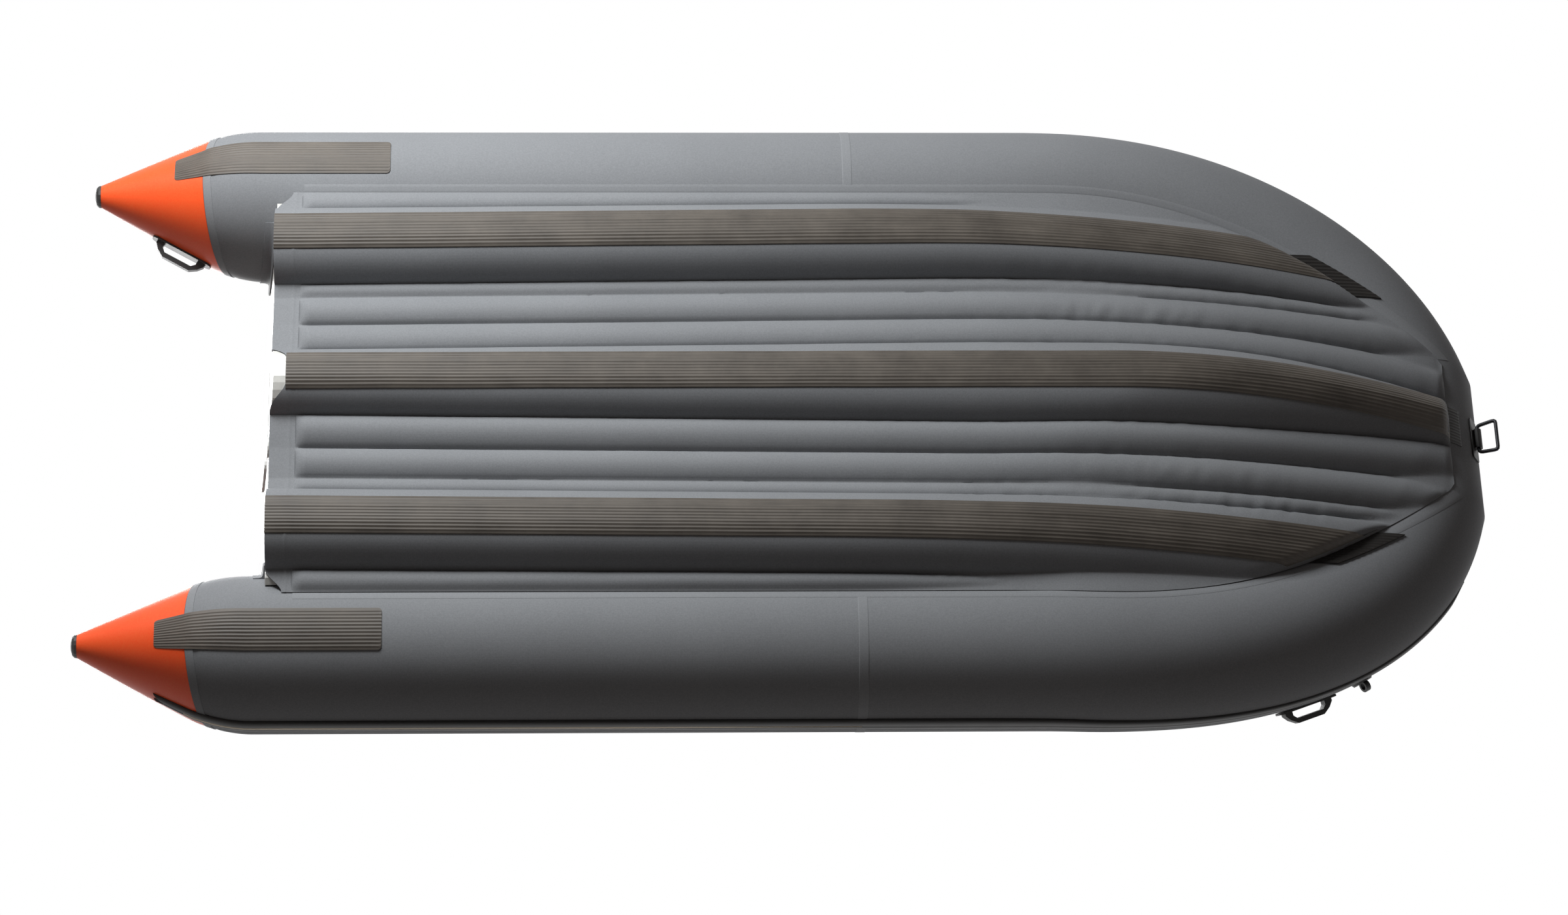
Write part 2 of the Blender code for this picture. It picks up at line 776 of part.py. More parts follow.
def floor_rows():
    """Rows of the floor from its aft end to the nose."""
    rows = []
    for share in RIB_RUNOUT_SHARES:
        station = FLOOR_AFT_STATION + RIB_RUNOUT * share
        rows.append(FloorRow(straight_section(station), LAP_ANGLE, share ** RIB_RUNOUT_POWER))
    for step in range(KEEL_ROCKER_STEPS):
        station = blend(SIDE_RISE_STATION, SHEER_START, step / (KEEL_ROCKER_STEPS - 1))
        rows.append(FloorRow(straight_section(station), LAP_ANGLE, 1.0))
    for step, section in enumerate(BOW_SECTIONS):
        way = step / (len(BOW_SECTIONS) - 1)
        angle = blend(LAP_ANGLE, NOSE_LAP_ANGLE, way ** LAP_TURN_POWER)
        last = step == len(BOW_SECTIONS) - 1
        rows.append(FloorRow(section, angle, 0.0 if last else 1.0))
    rows[-1].bottom = straight_edge(rows[-1])
    rows[-1].crown = 0.0
    return rows


def straight_edge(row):
    """The floor ends at the nose in a straight level edge."""
    def at(y):
        side = math.copysign(1, y)
        return Vector((row.lap.x, side * min(abs(y), row.lap.y), row.lap.z))
    return at


FLOOR_ROWS = floor_rows()


def close_strip(mesh, edge, first, last):
    """Close the strip between a row of vertices and the two vertices beyond it."""
    middle = len(edge) // 2
    for k in range(len(edge) - 1):
        mesh.faces.new((first if k < middle else last, edge[k], edge[k + 1]))
    mesh.faces.new((first, edge[middle], last))


def add_floor():
    mesh = bmesh.new()
    loops = []
    for row in FLOOR_ROWS:
        loops.append([mesh.verts.new(point) for part in row.loop() for point in part])
    under, starboard, over, _ = FLOOR_ROWS[0].loop()
    starboard_start = len(under)
    over_start = starboard_start + len(starboard)
    port_start = over_start + len(over)
    for near, far in zip(loops, loops[1:]):
        for k in range(len(near)):
            after = (k + 1) % len(near)
            add_quad(mesh, near[k], near[after], far[after], far[k], k >= port_start)
    front = loops[-1]
    right = front[starboard_start:over_start]
    left = list(reversed(front[port_start:]))
    close_strip(mesh, [left[0]] + front[:starboard_start] + [right[0]], left[1], right[1])
    for k in range(1, len(left) - 2):
        add_quad(mesh, left[k + 1], left[k], right[k], right[k + 1])
    close_strip(mesh, [right[-1]] + front[over_start:port_start] + [left[-1]], right[-2], left[-2])
    mesh.faces.new(loops[0])
    bmesh.ops.remove_doubles(mesh, verts=mesh.verts, dist=WELD)
    mesh.normal_update()
    bmesh.ops.triangulate(mesh, faces=[face for face in mesh.faces if len(face.verts) > 3])
    return finish("air_floor", mesh, hull_fabric(), smooth_angle=50)


# Sections between the rings of a cone or a straight tube

def ring_stations():
    return cone_stations() + shoulder_stations() + [CONE_LENGTH + SHOULDER_LENGTH, SHEER_START]


def aft_section(station):
    """A section on the flat facets between two neighbouring rings."""
    known = ring_stations()
    for near, far in zip(known, known[1:]):
        if station <= far:
            share = (station - near) / (far - near)
            first, second = straight_section(near), straight_section(far)
            centre = first.centre.lerp(second.centre, share)
            return Section(centre, first.inward, blend(first.radius, second.radius, share))
    return straight_section(station)


def stations_between(start, end):
    return [start] + [at for at in ring_stations() if start < at < end] + [end]


def nose_section(y):
    centre = Vector((world_x(NOSE_STATION), y, TUBE_HEIGHT + BOW_RISE))
    return Section(centre, Vector((-1, 0, 0)), TUBE_RADIUS)


def facet_point(section, degrees, lift):
    """A point over the flat facet that an angle falls on."""
    step = math.floor(degrees / STEP_ANGLE)
    share = degrees / STEP_ANGLE - step
    low = section.point(step * STEP_ANGLE, lift)
    high = section.point((step + 1) * STEP_ANGLE, lift)
    return low.lerp(high, share)


def band(name, sections, angles, inner, lifts, surface):
    """A strip on the tube: angles for each section, and the outer lift of each column."""
    lower = [[facet_point(s, a, inner) for a in row] for s, row in zip(sections, angles)]
    upper = [[facet_point(s, a, b) for a, b in zip(row, lifts)] for s, row in zip(sections, angles)]
    return sheet_body(name, lower, upper, surface)


def axes(origin, first, second, third):
    frame = Matrix((first, second, third)).transposed().to_4x4()
    frame.translation = origin
    return frame


def turned_axes(frame, order):
    """The same frame with its axes taken in another order."""
    columns = [frame.col[i].to_3d() for i in order]
    return axes(frame.translation, *columns)


def shifted(frame, along=0.0, side=0.0, out=0.0):
    return frame @ Matrix.Translation((along, side, out))


def join(target, addition):
    cut(target, addition, "UNION")


# Skirt, keel strips, patches and skid strips

def skirt_start(y):
    """Aft edge of the skirt, notched over the middle keel and the outer ends."""
    reach = abs(y)
    seams = seam_sizes()
    if reach < KEEL_FLAT:
        return SKIRT_AFT_STATION + SKIRT_NOTCH
    if reach < seams[0][0]:
        share = (reach - KEEL_FLAT) / (seams[0][0] - KEEL_FLAT)
        return SKIRT_AFT_STATION + SKIRT_NOTCH * (1 - share)
    if reach > seams[4][0]:
        share = min(1.0, (reach - seams[4][0]) / SKIRT_CORNER_STEP)
        return SKIRT_AFT_STATION + SKIRT_NOTCH * share
    return SKIRT_AFT_STATION


def add_skirt():
    row = FLOOR_ROWS[0]
    sides = [row.lap.y - LAP_LIFT / 2]
    columns = [sides[0]] + all_columns() + [-sides[0]]
    lower = []
    for share in (0.0, 1.0):
        points = []
        for y in columns:
            station = blend(skirt_start(y), FLOOR_AFT_STATION - SEAT_GAP, share)
            points.append(Vector((world_x(station), y, underside(station, y, 0))))
        lower.append(points)
    raise_up = Vector((0, 0, SKIRT_THICKNESS))
    upper = [[point + raise_up for point in points] for points in lower]
    return sheet_body("stern_skirt", lower, upper, hull_fabric())


def strip_columns(middle):
    offsets = [KEEL_FLAT / 2, (KEEL_FLAT + STRIP_WIDTH) / 4, STRIP_WIDTH / 2]
    ordered = [-offset for offset in reversed(offsets)] + offsets
    return [middle - offset for offset in ordered]


def add_keel_strip(name, middle, start, rows):
    """A strip under one keel, from its start on the skirt over the given rows of the floor."""
    columns = strip_columns(middle)
    tops = [[Vector((world_x(start), y, underside(start, y, 0))) for y in columns]]
    tops += [[row.bottom(y) for y in columns] for row in rows]
    gap, down = Vector((0, 0, SEAT_GAP)), Vector((0, 0, STRIP_THICKNESS + SEAT_GAP))
    upper = [[point - gap for point in row] for row in tops]
    lower = [[point - down for point in row] for row in tops]
    return sheet_body(name, lower, upper, ribbed_rubber())


def side_strip_rows():
    """Floor rows in which a side strip keeps at least one free column."""
    inner_edge = side_keel()[0] - STRIP_WIDTH / 2
    return [row for row in FLOOR_ROWS if row.lap.y > inner_edge + STRIP_WIDTH / 2]


def add_side_patch(side_name, side):
    """A wedge on the bow tube just outside the end of a side keel."""
    count = len(FLOOR_ROWS) - len(side_strip_rows())
    first = min(len(BOW_SECTIONS) - 2, len(BOW_SECTIONS) - count - 1)
    sections, angles = [], []
    for step in (first, first + 1):
        lap = FLOOR_ROWS[len(FLOOR_ROWS) - len(BOW_SECTIONS) + step].lap_angle
        start = lap - PATCH_MARGIN
        rings = [-STEP_ANGLE * k for k in range(3, 0, -1)]
        angles.append([SIDE_PATCH_ANGLE] + [min(start, angle) for angle in rings] + [start])
        sections.append(sided(BOW_SECTIONS[step], side))
    top = TWIST_GAP + PATCH_THICKNESS
    return band(f"bow_patch_{side_name}", sections, angles, TWIST_GAP, [top] * len(angles[0]), ribbed_rubber())


def add_nose_patch():
    start = NOSE_LAP_ANGLE - PATCH_MARGIN
    rings = [-STEP_ANGLE * k for k in (4, 3)]
    row = [NOSE_PATCH_ANGLE] + rings + [start]
    sections = [nose_section(side * NOSE_PATCH_WIDTH / 2) for side in (1, -1)]
    top = SEAT_GAP + PATCH_THICKNESS
    return band("bow_patch_centre", sections, [row, row], SEAT_GAP, [top] * len(row), ribbed_rubber())


def add_skid_strip(side_name, side):
    sections = [sided(aft_section(at), side) for at in stations_between(SKID_START_STATION, SKID_END_STATION)]
    angles = [SKID_ANGLES] * len(sections)
    lifts = [SEAT_GAP + SKID_THICKNESS] * len(SKID_ANGLES)
    return band(f"skid_strip_{side_name}", sections, angles, SEAT_GAP, lifts, ribbed_rubber())


def add_strake(side_name, side):
    """A rounded rub strake with a swallow tail, round the outside to the nose corner."""
    start = STRAKE_START_STATION
    stations = stations_between(start + STRAKE_NOTCH, CHAMBER_STATION) + [SHEER_START]
    sections = [aft_section(at) for at in stations]
    sections += BOW_SECTIONS[:len(BOW_SECTIONS) - STRAKE_END_STEPS]
    sections = [sided(section, side) for section in sections]
    lifts = [TWIST_GAP + STRAKE_CROWN * share for share in STRAKE_CROWN_SHARES]
    lower = [[facet_point(s, a, TWIST_GAP) for a in STRAKE_ANGLES] for s in sections]
    upper = [[facet_point(s, a, b) for a, b in zip(STRAKE_ANGLES, lifts)] for s in sections]
    middle = len(STRAKE_ANGLES) // 2
    for grid in (lower, upper):
        for column in range(len(STRAKE_ANGLES)):
            back = STRAKE_NOTCH * abs(column - middle) / middle
            slope = (grid[1][column] - grid[0][column]).normalized()
            grid[0][column] = grid[0][column] - slope * back
    return sheet_body(f"rub_strake_{side_name}", lower, upper, black_rubber())


# Transom, its holders, plates and drain

def raked(station, y, z):
    """A point carried aft as it rises, with the lean of the transom."""
    return Vector((world_x(station) - (z - KEEL_DEPTH) * RAKE, y, z))


def rake_frame(offset):
    """Outline axes across and up the transom, extruded lengthwise about an offset from its aft face."""
    origin = raked(TRANSOM_STATION + offset, 0, 0)
    return axes(origin, Vector((0, 1, 0)), Vector((-RAKE, 0, 1)), Vector((1, 0, 0)))


def transom_side():
    """Port half of the transom's outline, from the middle of its lower edge to its top."""
    clear = 2 * SEAT_GAP
    section = straight_section(FLOOR_AFT_STATION)
    points = [(y, underside(0, y, 0) + SKIRT_THICKNESS + clear) for y in half_columns()[:-1]]
    edge = HOLDER_THICKNESS + 2 * SEAT_GAP
    start = (HOLDER_START_STEP - 1) * STEP_ANGLE
    side = [start - STEP_ANGLE / 4] + [k * STEP_ANGLE for k in range(HOLDER_START_STEP - 1, HOLDER_END_STEP + 1)]
    for angle in side:
        point = section.point(angle, edge)
        points.append((point.y, point.z))
    points += [(TRANSOM_TOP_HALF, TRANSOM_TOP), (TRANSOM_CUT_HALF + TRANSOM_CUT_SLOPE, TRANSOM_TOP)]
    points.append((TRANSOM_CUT_HALF, TRANSOM_CUT_TOP))
    return points


def add_transom():
    half = transom_side()
    outline = half + [(-y, z) for y, z in reversed(half)]
    board = prism("transom", outline, TRANSOM_THICKNESS, rake_frame(TRANSOM_THICKNESS / 2), marine_plywood())
    frame = drain_frame()
    reach = TRANSOM_THICKNESS + 2 * CUT_OVERRUN
    radius = DRAIN_TUBE_RADIUS + SEAT_GAP
    cutter = turned("drain_cutter", [(0, -CUT_OVERRUN), (radius, -CUT_OVERRUN), (radius, reach), (0, reach)],
                    DRAIN_SIDES, frame, black_rubber())
    cut(board, cutter)
    return board


def add_holder(side_name, side):
    """A fabric channel on the tube that grips one side edge of the transom."""
    section = sided(straight_section(FLOOR_AFT_STATION), side)
    inner = TRANSOM_THICKNESS / 2 + SEAT_GAP
    outer = inner + HOLDER_THICKNESS
    foot = outer + HOLDER_FOOT
    base, sole, lip = SEAT_GAP, SEAT_GAP + HOLDER_THICKNESS, HOLDER_LIP
    half = [(foot, base), (foot, sole), (outer, sole), (outer, lip), (inner, lip), (inner, sole)]
    shape = half + [(-x, lift) for x, lift in reversed(half)]
    middle = TRANSOM_STATION + TRANSOM_THICKNESS / 2
    rings = []
    for k in range(HOLDER_START_STEP, HOLDER_END_STEP + 1):
        circle = []
        for x, lift in shape:
            point = section.point(k * STEP_ANGLE, lift)
            circle.append(raked(middle + x, point.y, point.z))
        rings.append(circle)
    return loft(f"transom_holder_{side_name}", rings, hull_fabric())


def add_plate(name, half, bottom, offset):
    top = TRANSOM_CUT_TOP - PLATE_TOP_MARGIN
    middle = (top + bottom) / 2
    outline = [(u, v + middle) for u, v in corner_points(half, (top - bottom) / 2, PLATE_CORNER)]
    return prism(name, outline, PLATE_THICKNESS, rake_frame(offset), white_plastic())


def add_plates():
    away = SEAT_GAP + PLATE_THICKNESS / 2
    add_plate("motor_plate_outer", OUTER_PLATE_HALF, OUTER_PLATE_BOTTOM, -away)
    add_plate("motor_plate_inner", INNER_PLATE_HALF, INNER_PLATE_BOTTOM, TRANSOM_THICKNESS + away)


def transom_face_frame(y, z):
    """A frame on the aft face of the transom: X up the face, Z out of it, aft."""
    lean = math.radians(TRANSOM_RAKE)
    out = Vector((-math.cos(lean), 0, -math.sin(lean)))
    up = Vector((-math.sin(lean), 0, math.cos(lean)))
    return axes(raked(TRANSOM_STATION, y, z), up, out.cross(up), out)


def drain_frame():
    """A frame at the drain, Z forward through the transom."""
    face = transom_face_frame(DRAIN_OFFSET, DRAIN_HEIGHT)
    up, side, out = (face.col[i].to_3d() for i in range(3))
    return axes(face.translation, up, -side, -out)


def add_drain():
    frame = drain_frame()
    lean = math.cos(math.radians(TRANSOM_RAKE))
    end = TRANSOM_THICKNESS * lean + DRAIN_PROUD
    rim = -SEAT_GAP - DRAIN_FLANGE_THICKNESS
    body = [(DRAIN_BORE_RADIUS, rim), (DRAIN_FLANGE_RADIUS, rim), (DRAIN_FLANGE_RADIUS, -SEAT_GAP)]
    body += [(DRAIN_TUBE_RADIUS, -SEAT_GAP), (DRAIN_TUBE_RADIUS, end), (DRAIN_BORE_RADIUS, end)]
    turned("drain_socket", body, DRAIN_SIDES, frame, white_plastic())
    seat = end + SEAT_GAP
    stem = DRAIN_BORE_RADIUS - SEAT_GAP
    tip = seat + PLUG_HEAD_THICKNESS
    plug = [(0, seat - PLUG_STEM_LENGTH), (stem, seat - PLUG_STEM_LENGTH), (stem, seat)]
    plug += [(PLUG_HEAD_RADIUS, seat), (PLUG_HEAD_RADIUS, tip), (PLUG_KNOB_RADIUS, tip)]
    plug += [(PLUG_KNOB_RADIUS, tip + PLUG_KNOB_LENGTH), (0, tip + PLUG_KNOB_LENGTH)]
    turned("drain_plug", plug, DRAIN_SIDES, frame, grey_plastic(), frame @ Vector((0, 0, seat)))


# Valves

def tube_valve_frame(station, side):
    first = sided(straight_section(station - TUBE_RADIUS / 2), side)
    second = sided(straight_section(station + TUBE_RADIUS / 2), side)
    return facet_frame(first, second, VALVE_FACET)


def floor_valve_frame():
    columns = deck_columns()
    height = FLOOR_ROWS[2].top(columns[len(columns) // 2]).z
    place = Vector((world_x(FLOOR_VALVE_STATION), 0, height))
    return axes(place, Vector((1, 0, 0)), Vector((0, 1, 0)), Vector((0, 0, 1)))


def add_valve(place, frame, holder):
    """A cup set into the fabric, a spring plunger in its floor and a screw cap over it."""
    pocket = VALVE_CUP_RADIUS + SEAT_GAP
    cutter = turned(f"valve_cutter_{place}", [(0, -VALVE_POCKET_DEPTH), (pocket, -VALVE_POCKET_DEPTH),
                    (pocket, CUT_OVERRUN), (0, CUT_OVERRUN)], VALVE_SIDES, frame, black_rubber())
    cut(holder, cutter)
    rim = SEAT_GAP + VALVE_FLANGE_THICKNESS
    seat = -VALVE_CUP_DEPTH + VALVE_SEAT_THICKNESS
    cup = [(VALVE_BORE_RADIUS, rim), (VALVE_FLANGE_RADIUS, rim), (VALVE_FLANGE_RADIUS, SEAT_GAP)]
    cup += [(VALVE_CUP_RADIUS, SEAT_GAP), (VALVE_CUP_RADIUS, -VALVE_CUP_DEPTH)]
    cup += [(VALVE_SEAT_RADIUS, -VALVE_CUP_DEPTH), (VALVE_SEAT_RADIUS, seat), (VALVE_BORE_RADIUS, seat)]
    turned(f"valve_cup_{place}", cup, VALVE_SIDES, frame, black_plastic())
    disc = -VALVE_CUP_DEPTH - SEAT_GAP
    under = disc - PLUNGER_DISC_THICKNESS
    button = seat + 2 * PLUNGER_TRAVEL
    top = button + PLUNGER_BUTTON_THICKNESS
    plunger = [(0, under), (PLUNGER_DISC_RADIUS, under), (PLUNGER_DISC_RADIUS, disc)]
    plunger += [(PLUNGER_STEM_RADIUS, disc), (PLUNGER_STEM_RADIUS, button)]
    plunger += [(PLUNGER_BUTTON_RADIUS, button), (PLUNGER_BUTTON_RADIUS, top), (0, top)]
    turned(f"valve_plunger_{place}", plunger, PLUNGER_SIDES, frame, grey_plastic(), frame @ Vector((0, 0, top)))
    lid = rim + SEAT_GAP
    skirt = VALVE_BORE_RADIUS - JOINT_GAP
    bore = skirt - CAP_SKIRT_WALL
    crown = lid + CAP_THICKNESS
    cap = [(0, lid), (bore, lid), (bore, lid - CAP_SKIRT_DEPTH), (skirt, lid - CAP_SKIRT_DEPTH), (skirt, lid)]
    cap += [(CAP_RADIUS, lid), (CAP_RADIUS, crown), (0, crown)]
    made = turned(f"valve_cap_{place}", cap, VALVE_SIDES, frame, black_plastic(), frame.translation)
    outline = corner_points(CAP_GRIP_LENGTH / 2, CAP_GRIP_WIDTH / 2, CAP_GRIP_WIDTH / 4)
    height = CAP_GRIP_HEIGHT + CAP_THICKNESS / 2
    grip_frame = shifted(frame, out=crown - CAP_THICKNESS / 2 + height / 2)
    join(made, prism(f"valve_grip_{place}", outline, height, grip_frame, black_plastic(), frame.translation))


# Handles, eyes and the bow ring

def add_handle(name, frame):
    """A moulded handle: a base plate with an arch over a finger gap."""
    outline = corner_points(HANDLE_BASE_LENGTH / 2, HANDLE_BASE_WIDTH / 2, HANDLE_BASE_CORNER)
    base = prism(name, outline, HANDLE_BASE_THICKNESS, shifted(frame, out=SEAT_GAP + HANDLE_BASE_THICKNESS / 2),
                 black_rubber(), frame.translation)
    gap, rise, ear = HANDLE_GAP_LENGTH / 2, HANDLE_GAP_HEIGHT, HANDLE_EAR
    outer = [(gap + HANDLE_FOOT, 0), (gap + HANDLE_FOOT, ear), (gap + ear, rise), (gap - ear, rise + HANDLE_BAR)]
    inner = [(gap - ear, rise), (gap, rise - ear), (gap, 0)]
    arch = outer + [(-u, v) for u, v in reversed(outer)] + [(-u, v) for u, v in reversed(inner)] + inner
    sink = SEAT_GAP + HANDLE_BASE_THICKNESS / 2
    arch_frame = turned_axes(shifted(frame, out=sink), (0, 2, 1))
    join(base, prism(f"{name}_arch", arch, HANDLE_WIDTH, arch_frame, black_rubber(), frame.translation))


def add_handles():
    cone = cone_stations()
    for side_name, side in (("port", 1), ("starboard", -1)):
        near, far = (sided(straight_section(at), side) for at in cone[1:3])
        place = shifted(facet_frame(near, far, CONE_HANDLE_FACET), along=CONE_HANDLE_SHIFT)
        add_handle(f"cone_handle_{side_name}", place)
        near, far = (sided(section, side) for section in BOW_SECTIONS[3:5])
        place = shifted(facet_frame(near, far, BOW_HANDLE_FACET, SEAT_GAP), along=BOW_HANDLE_SHIFT)
        add_handle(f"bow_handle_{side_name}", place)


def add_eye(name, frame):
    """A round patch with a standing eye for a rope."""
    rim = SEAT_GAP + EYE_BASE_THICKNESS
    base = turned(name, [(0, SEAT_GAP), (EYE_BASE_RADIUS, SEAT_GAP), (EYE_BASE_RADIUS - EYE_BASE_THICKNESS / 2, rim),
                  (0, rim)], EYE_SIDES, frame, black_rubber(), frame.translation)
    half = EYE_WIDTH / 2
    loop = [(EYE_BORE_RADIUS, -half), (EYE_OUTER_RADIUS, -half), (EYE_OUTER_RADIUS, half), (EYE_BORE_RADIUS, half)]
    standing = turned_axes(shifted(frame, out=rim + EYE_BORE_RADIUS + 2 * SEAT_GAP), (1, 2, 0))
    join(base, turned(f"{name}_loop", loop, EYE_SIDES, standing, black_rubber(), frame.translation))


def add_eyes():
    for side_name, side in (("port", 1), ("starboard", -1)):
        near, far = (sided(section, side) for section in BOW_SECTIONS[4:6])
        place = shifted(facet_frame(near, far, EYE_FACET, SEAT_GAP), along=EYE_SHIFT)
        add_eye(f"bow_eye_{side_name}", place)


def strap_frame():
    return facet_frame(nose_section(STRAP_BASE_WIDTH / 2), nose_section(-STRAP_BASE_WIDTH / 2), STRAP_FACET)


def add_strap():
    """A patch on the nose with a bored block for the bow ring."""
    frame = strap_frame()
    outline = corner_points(STRAP_BASE_WIDTH / 2, STRAP_BASE_HEIGHT / 2, STRAP_BASE_THICKNESS * 2)
    place = shifted(frame, out=SEAT_GAP + STRAP_BASE_THICKNESS / 2)
    base = prism("bow_ring_strap", outline, STRAP_BASE_THICKNESS, place, black_rubber())
    hinge = turned_axes(shifted(frame, out=STRAP_HINGE_HEIGHT), (1, 2, 0))
    half = STRAP_BARREL_LENGTH / 2
    bore = RING_WIRE_RADIUS + JOINT_GAP
    barrel = [(bore, -half), (STRAP_BARREL_RADIUS, -half), (STRAP_BARREL_RADIUS, half), (bore, half)]
    join(base, turned("bow_strap_barrel", barrel, OARLOCK_SIDES, hinge, black_rubber()))


def ring_path():
    """Centre line of the bow ring, across and out from its hinge."""
    corners = [(RING_HINGE_HALF, 0), (RING_OUTER_HALF, RING_DEPTH), (-RING_OUTER_HALF, RING_DEPTH), (-RING_HINGE_HALF, 0)]
    points = []
    for i, corner in enumerate(corners):
        here = Vector(corner)
        before = (Vector(corners[i - 1]) - here).normalized() * RING_CORNER
        after = (Vector(corners[(i + 1) % len(corners)]) - here).normalized() * RING_CORNER
        for step in range(RING_CORNER_STEPS + 1):
            share = step / RING_CORNER_STEPS
            points.append(here + before * (1 - share) ** 2 + after * share ** 2)
    return points


def add_bow_ring():
    frame = strap_frame()
    hinge = frame @ Vector((0, 0, STRAP_HINGE_HEIGHT))
    along, out = frame.col[0].to_3d(), frame.col[2].to_3d()
    path = ring_path()
    mesh = bmesh.new()
    rows = []
    for i, point in enumerate(path):
        ahead = (path[(i + 1) % len(path)] - point).normalized()
        behind = (point - path[i - 1]).normalized()
        way = (ahead + behind).normalized()
        normal = Vector((way.y, -way.x)) / way.dot(behind)
        row = []
        for step in range(RING_SIDES):
            angle = math.tau * step / RING_SIDES
            flat = point + normal * (RING_WIRE_RADIUS * math.cos(angle))
            lift = along.cross(out) * (RING_WIRE_RADIUS * math.sin(angle))
            row.append(mesh.verts.new(hinge + along * flat.x + out * flat.y + lift))
        rows.append(row)
    add_grid(mesh, rows + [rows[0]], wrap=True)
    return finish("bow_ring", mesh, stainless_steel(), hinge, smooth_angle=60)


# Oarlocks, rails and benches

def add_oarlock(side_name, side):
    """A saddle and boss on top of the tube, and a fork that turns in it."""
    top = 180
    saddle = []
    for along in (-OARLOCK_BASE_RADIUS, OARLOCK_BASE_RADIUS):
        section = sided(straight_section(OARLOCK_STATION + along), side)
        sole = [section.point(top + k * STEP_ANGLE, SEAT_GAP) for k in (-1, 0, 1)]
        crown = [section.point(top + k * STEP_ANGLE, OARLOCK_BASE_THICKNESS) for k in (1, 0, -1)]
        saddle.append(sole + crown)
    base = loft(f"oarlock_base_{side_name}", saddle, black_plastic())
    centre = sided(straight_section(OARLOCK_STATION), side).point(top)
    frame = axes(centre, Vector((1, 0, 0)), Vector((0, 1, 0)), Vector((0, 0, 1)))
    bore = OARLOCK_PIN_RADIUS + OARLOCK_PIN_CLEARANCE
    boss_top = OARLOCK_BASE_THICKNESS + OARLOCK_BOSS_HEIGHT
    sink = OARLOCK_BASE_THICKNESS / 2
    boss = [(0, sink), (OARLOCK_BOSS_RADIUS, sink), (OARLOCK_BOSS_RADIUS, boss_top), (0, boss_top)]
    join(base, turned(f"oarlock_boss_{side_name}", boss, OARLOCK_SIDES, frame, black_plastic()))
    floor = 2 * SEAT_GAP + STRIP_THICKNESS
    hole = [(0, floor), (bore, floor), (bore, boss_top + CUT_OVERRUN), (0, boss_top + CUT_OVERRUN)]
    cut(base, turned(f"oarlock_bore_{side_name}", hole, OARLOCK_SIDES, frame, black_plastic()))
    seat = boss_top + SEAT_GAP
    foot = floor + RUNNING_GAP
    collar = seat + OARLOCK_FORK_ARM
    pin = [(0, foot), (OARLOCK_PIN_RADIUS, foot), (OARLOCK_PIN_RADIUS, seat), (OARLOCK_BOSS_RADIUS, seat)]
    pin += [(OARLOCK_BOSS_RADIUS, collar), (0, collar)]
    place = frame @ Vector((0, 0, seat))
    swivel = turned(f"oarlock_fork_{side_name}", pin, OARLOCK_SIDES, frame, grey_plastic(), place)
    inner, arm = OARLOCK_FORK_GAP / 2, OARLOCK_FORK_ARM
    low, high = OARLOCK_FORK_ARM / 2, OARLOCK_FORK_HEIGHT
    outer = inner + arm
    half = [(outer - arm, low), (outer, low + arm), (outer, high), (inner, high), (inner, low + 2 * arm)]
    half.append((inner - arm, low + arm))
    fork = half + [(-u, v) for u, v in reversed(half)]
    fork_frame = turned_axes(shifted(frame, out=seat), (0, 2, 1))
    join(swivel, prism(f"oarlock_arms_{side_name}", fork, OARLOCK_FORK_DEPTH, fork_frame, grey_plastic(), place))


def rail_frame(station, side):
    """A frame on the rail's facet: X outboard across it, Y out of the tube, Z along it."""
    first = sided(straight_section(station - TUBE_RADIUS / 2), side)
    second = sided(straight_section(station + TUBE_RADIUS / 2), side)
    frame = facet_frame(first, second, RAIL_FACET)
    along, across, out = (frame.col[i].to_3d() for i in range(3))
    if across.y * side < 0:
        across = -across
    return axes(frame.translation, across, out, along)


def circle_points(radius, height, start, end, steps):
    points = []
    for step in range(steps + 1):
        angle = math.radians(blend(start, end, step / steps))
        points.append((radius * math.sin(angle), height - radius * math.cos(angle)))
    return points


def bead_height():
    return SEAT_GAP + RAIL_BASE_THICKNESS + RAIL_NECK_HEIGHT + RAIL_BEAD_RADIUS * BEAD_SINK_SHARE


def neck_angle(half_width, radius):
    return math.degrees(math.asin(half_width / radius))


def add_rail(side_name, side):
    middle = (RAIL_START_STATION + RAIL_END_STATION) / 2
    frame = rail_frame(middle, side)
    base, neck = RAIL_BASE_WIDTH / 2, RAIL_NECK_WIDTH / 2
    low, high = SEAT_GAP, SEAT_GAP + RAIL_BASE_THICKNESS
    slot = neck_angle(neck, RAIL_BEAD_RADIUS)
    outline = [(-base, low), (base, low), (base, high), (neck, high)]
    outline += circle_points(RAIL_BEAD_RADIUS, bead_height(), slot, 360 - slot, BEAD_STEPS)
    outline += [(-neck, high), (-base, high)]
    length = RAIL_END_STATION - RAIL_START_STATION
    return prism(f"seat_rail_{side_name}", outline, length, frame, black_plastic())


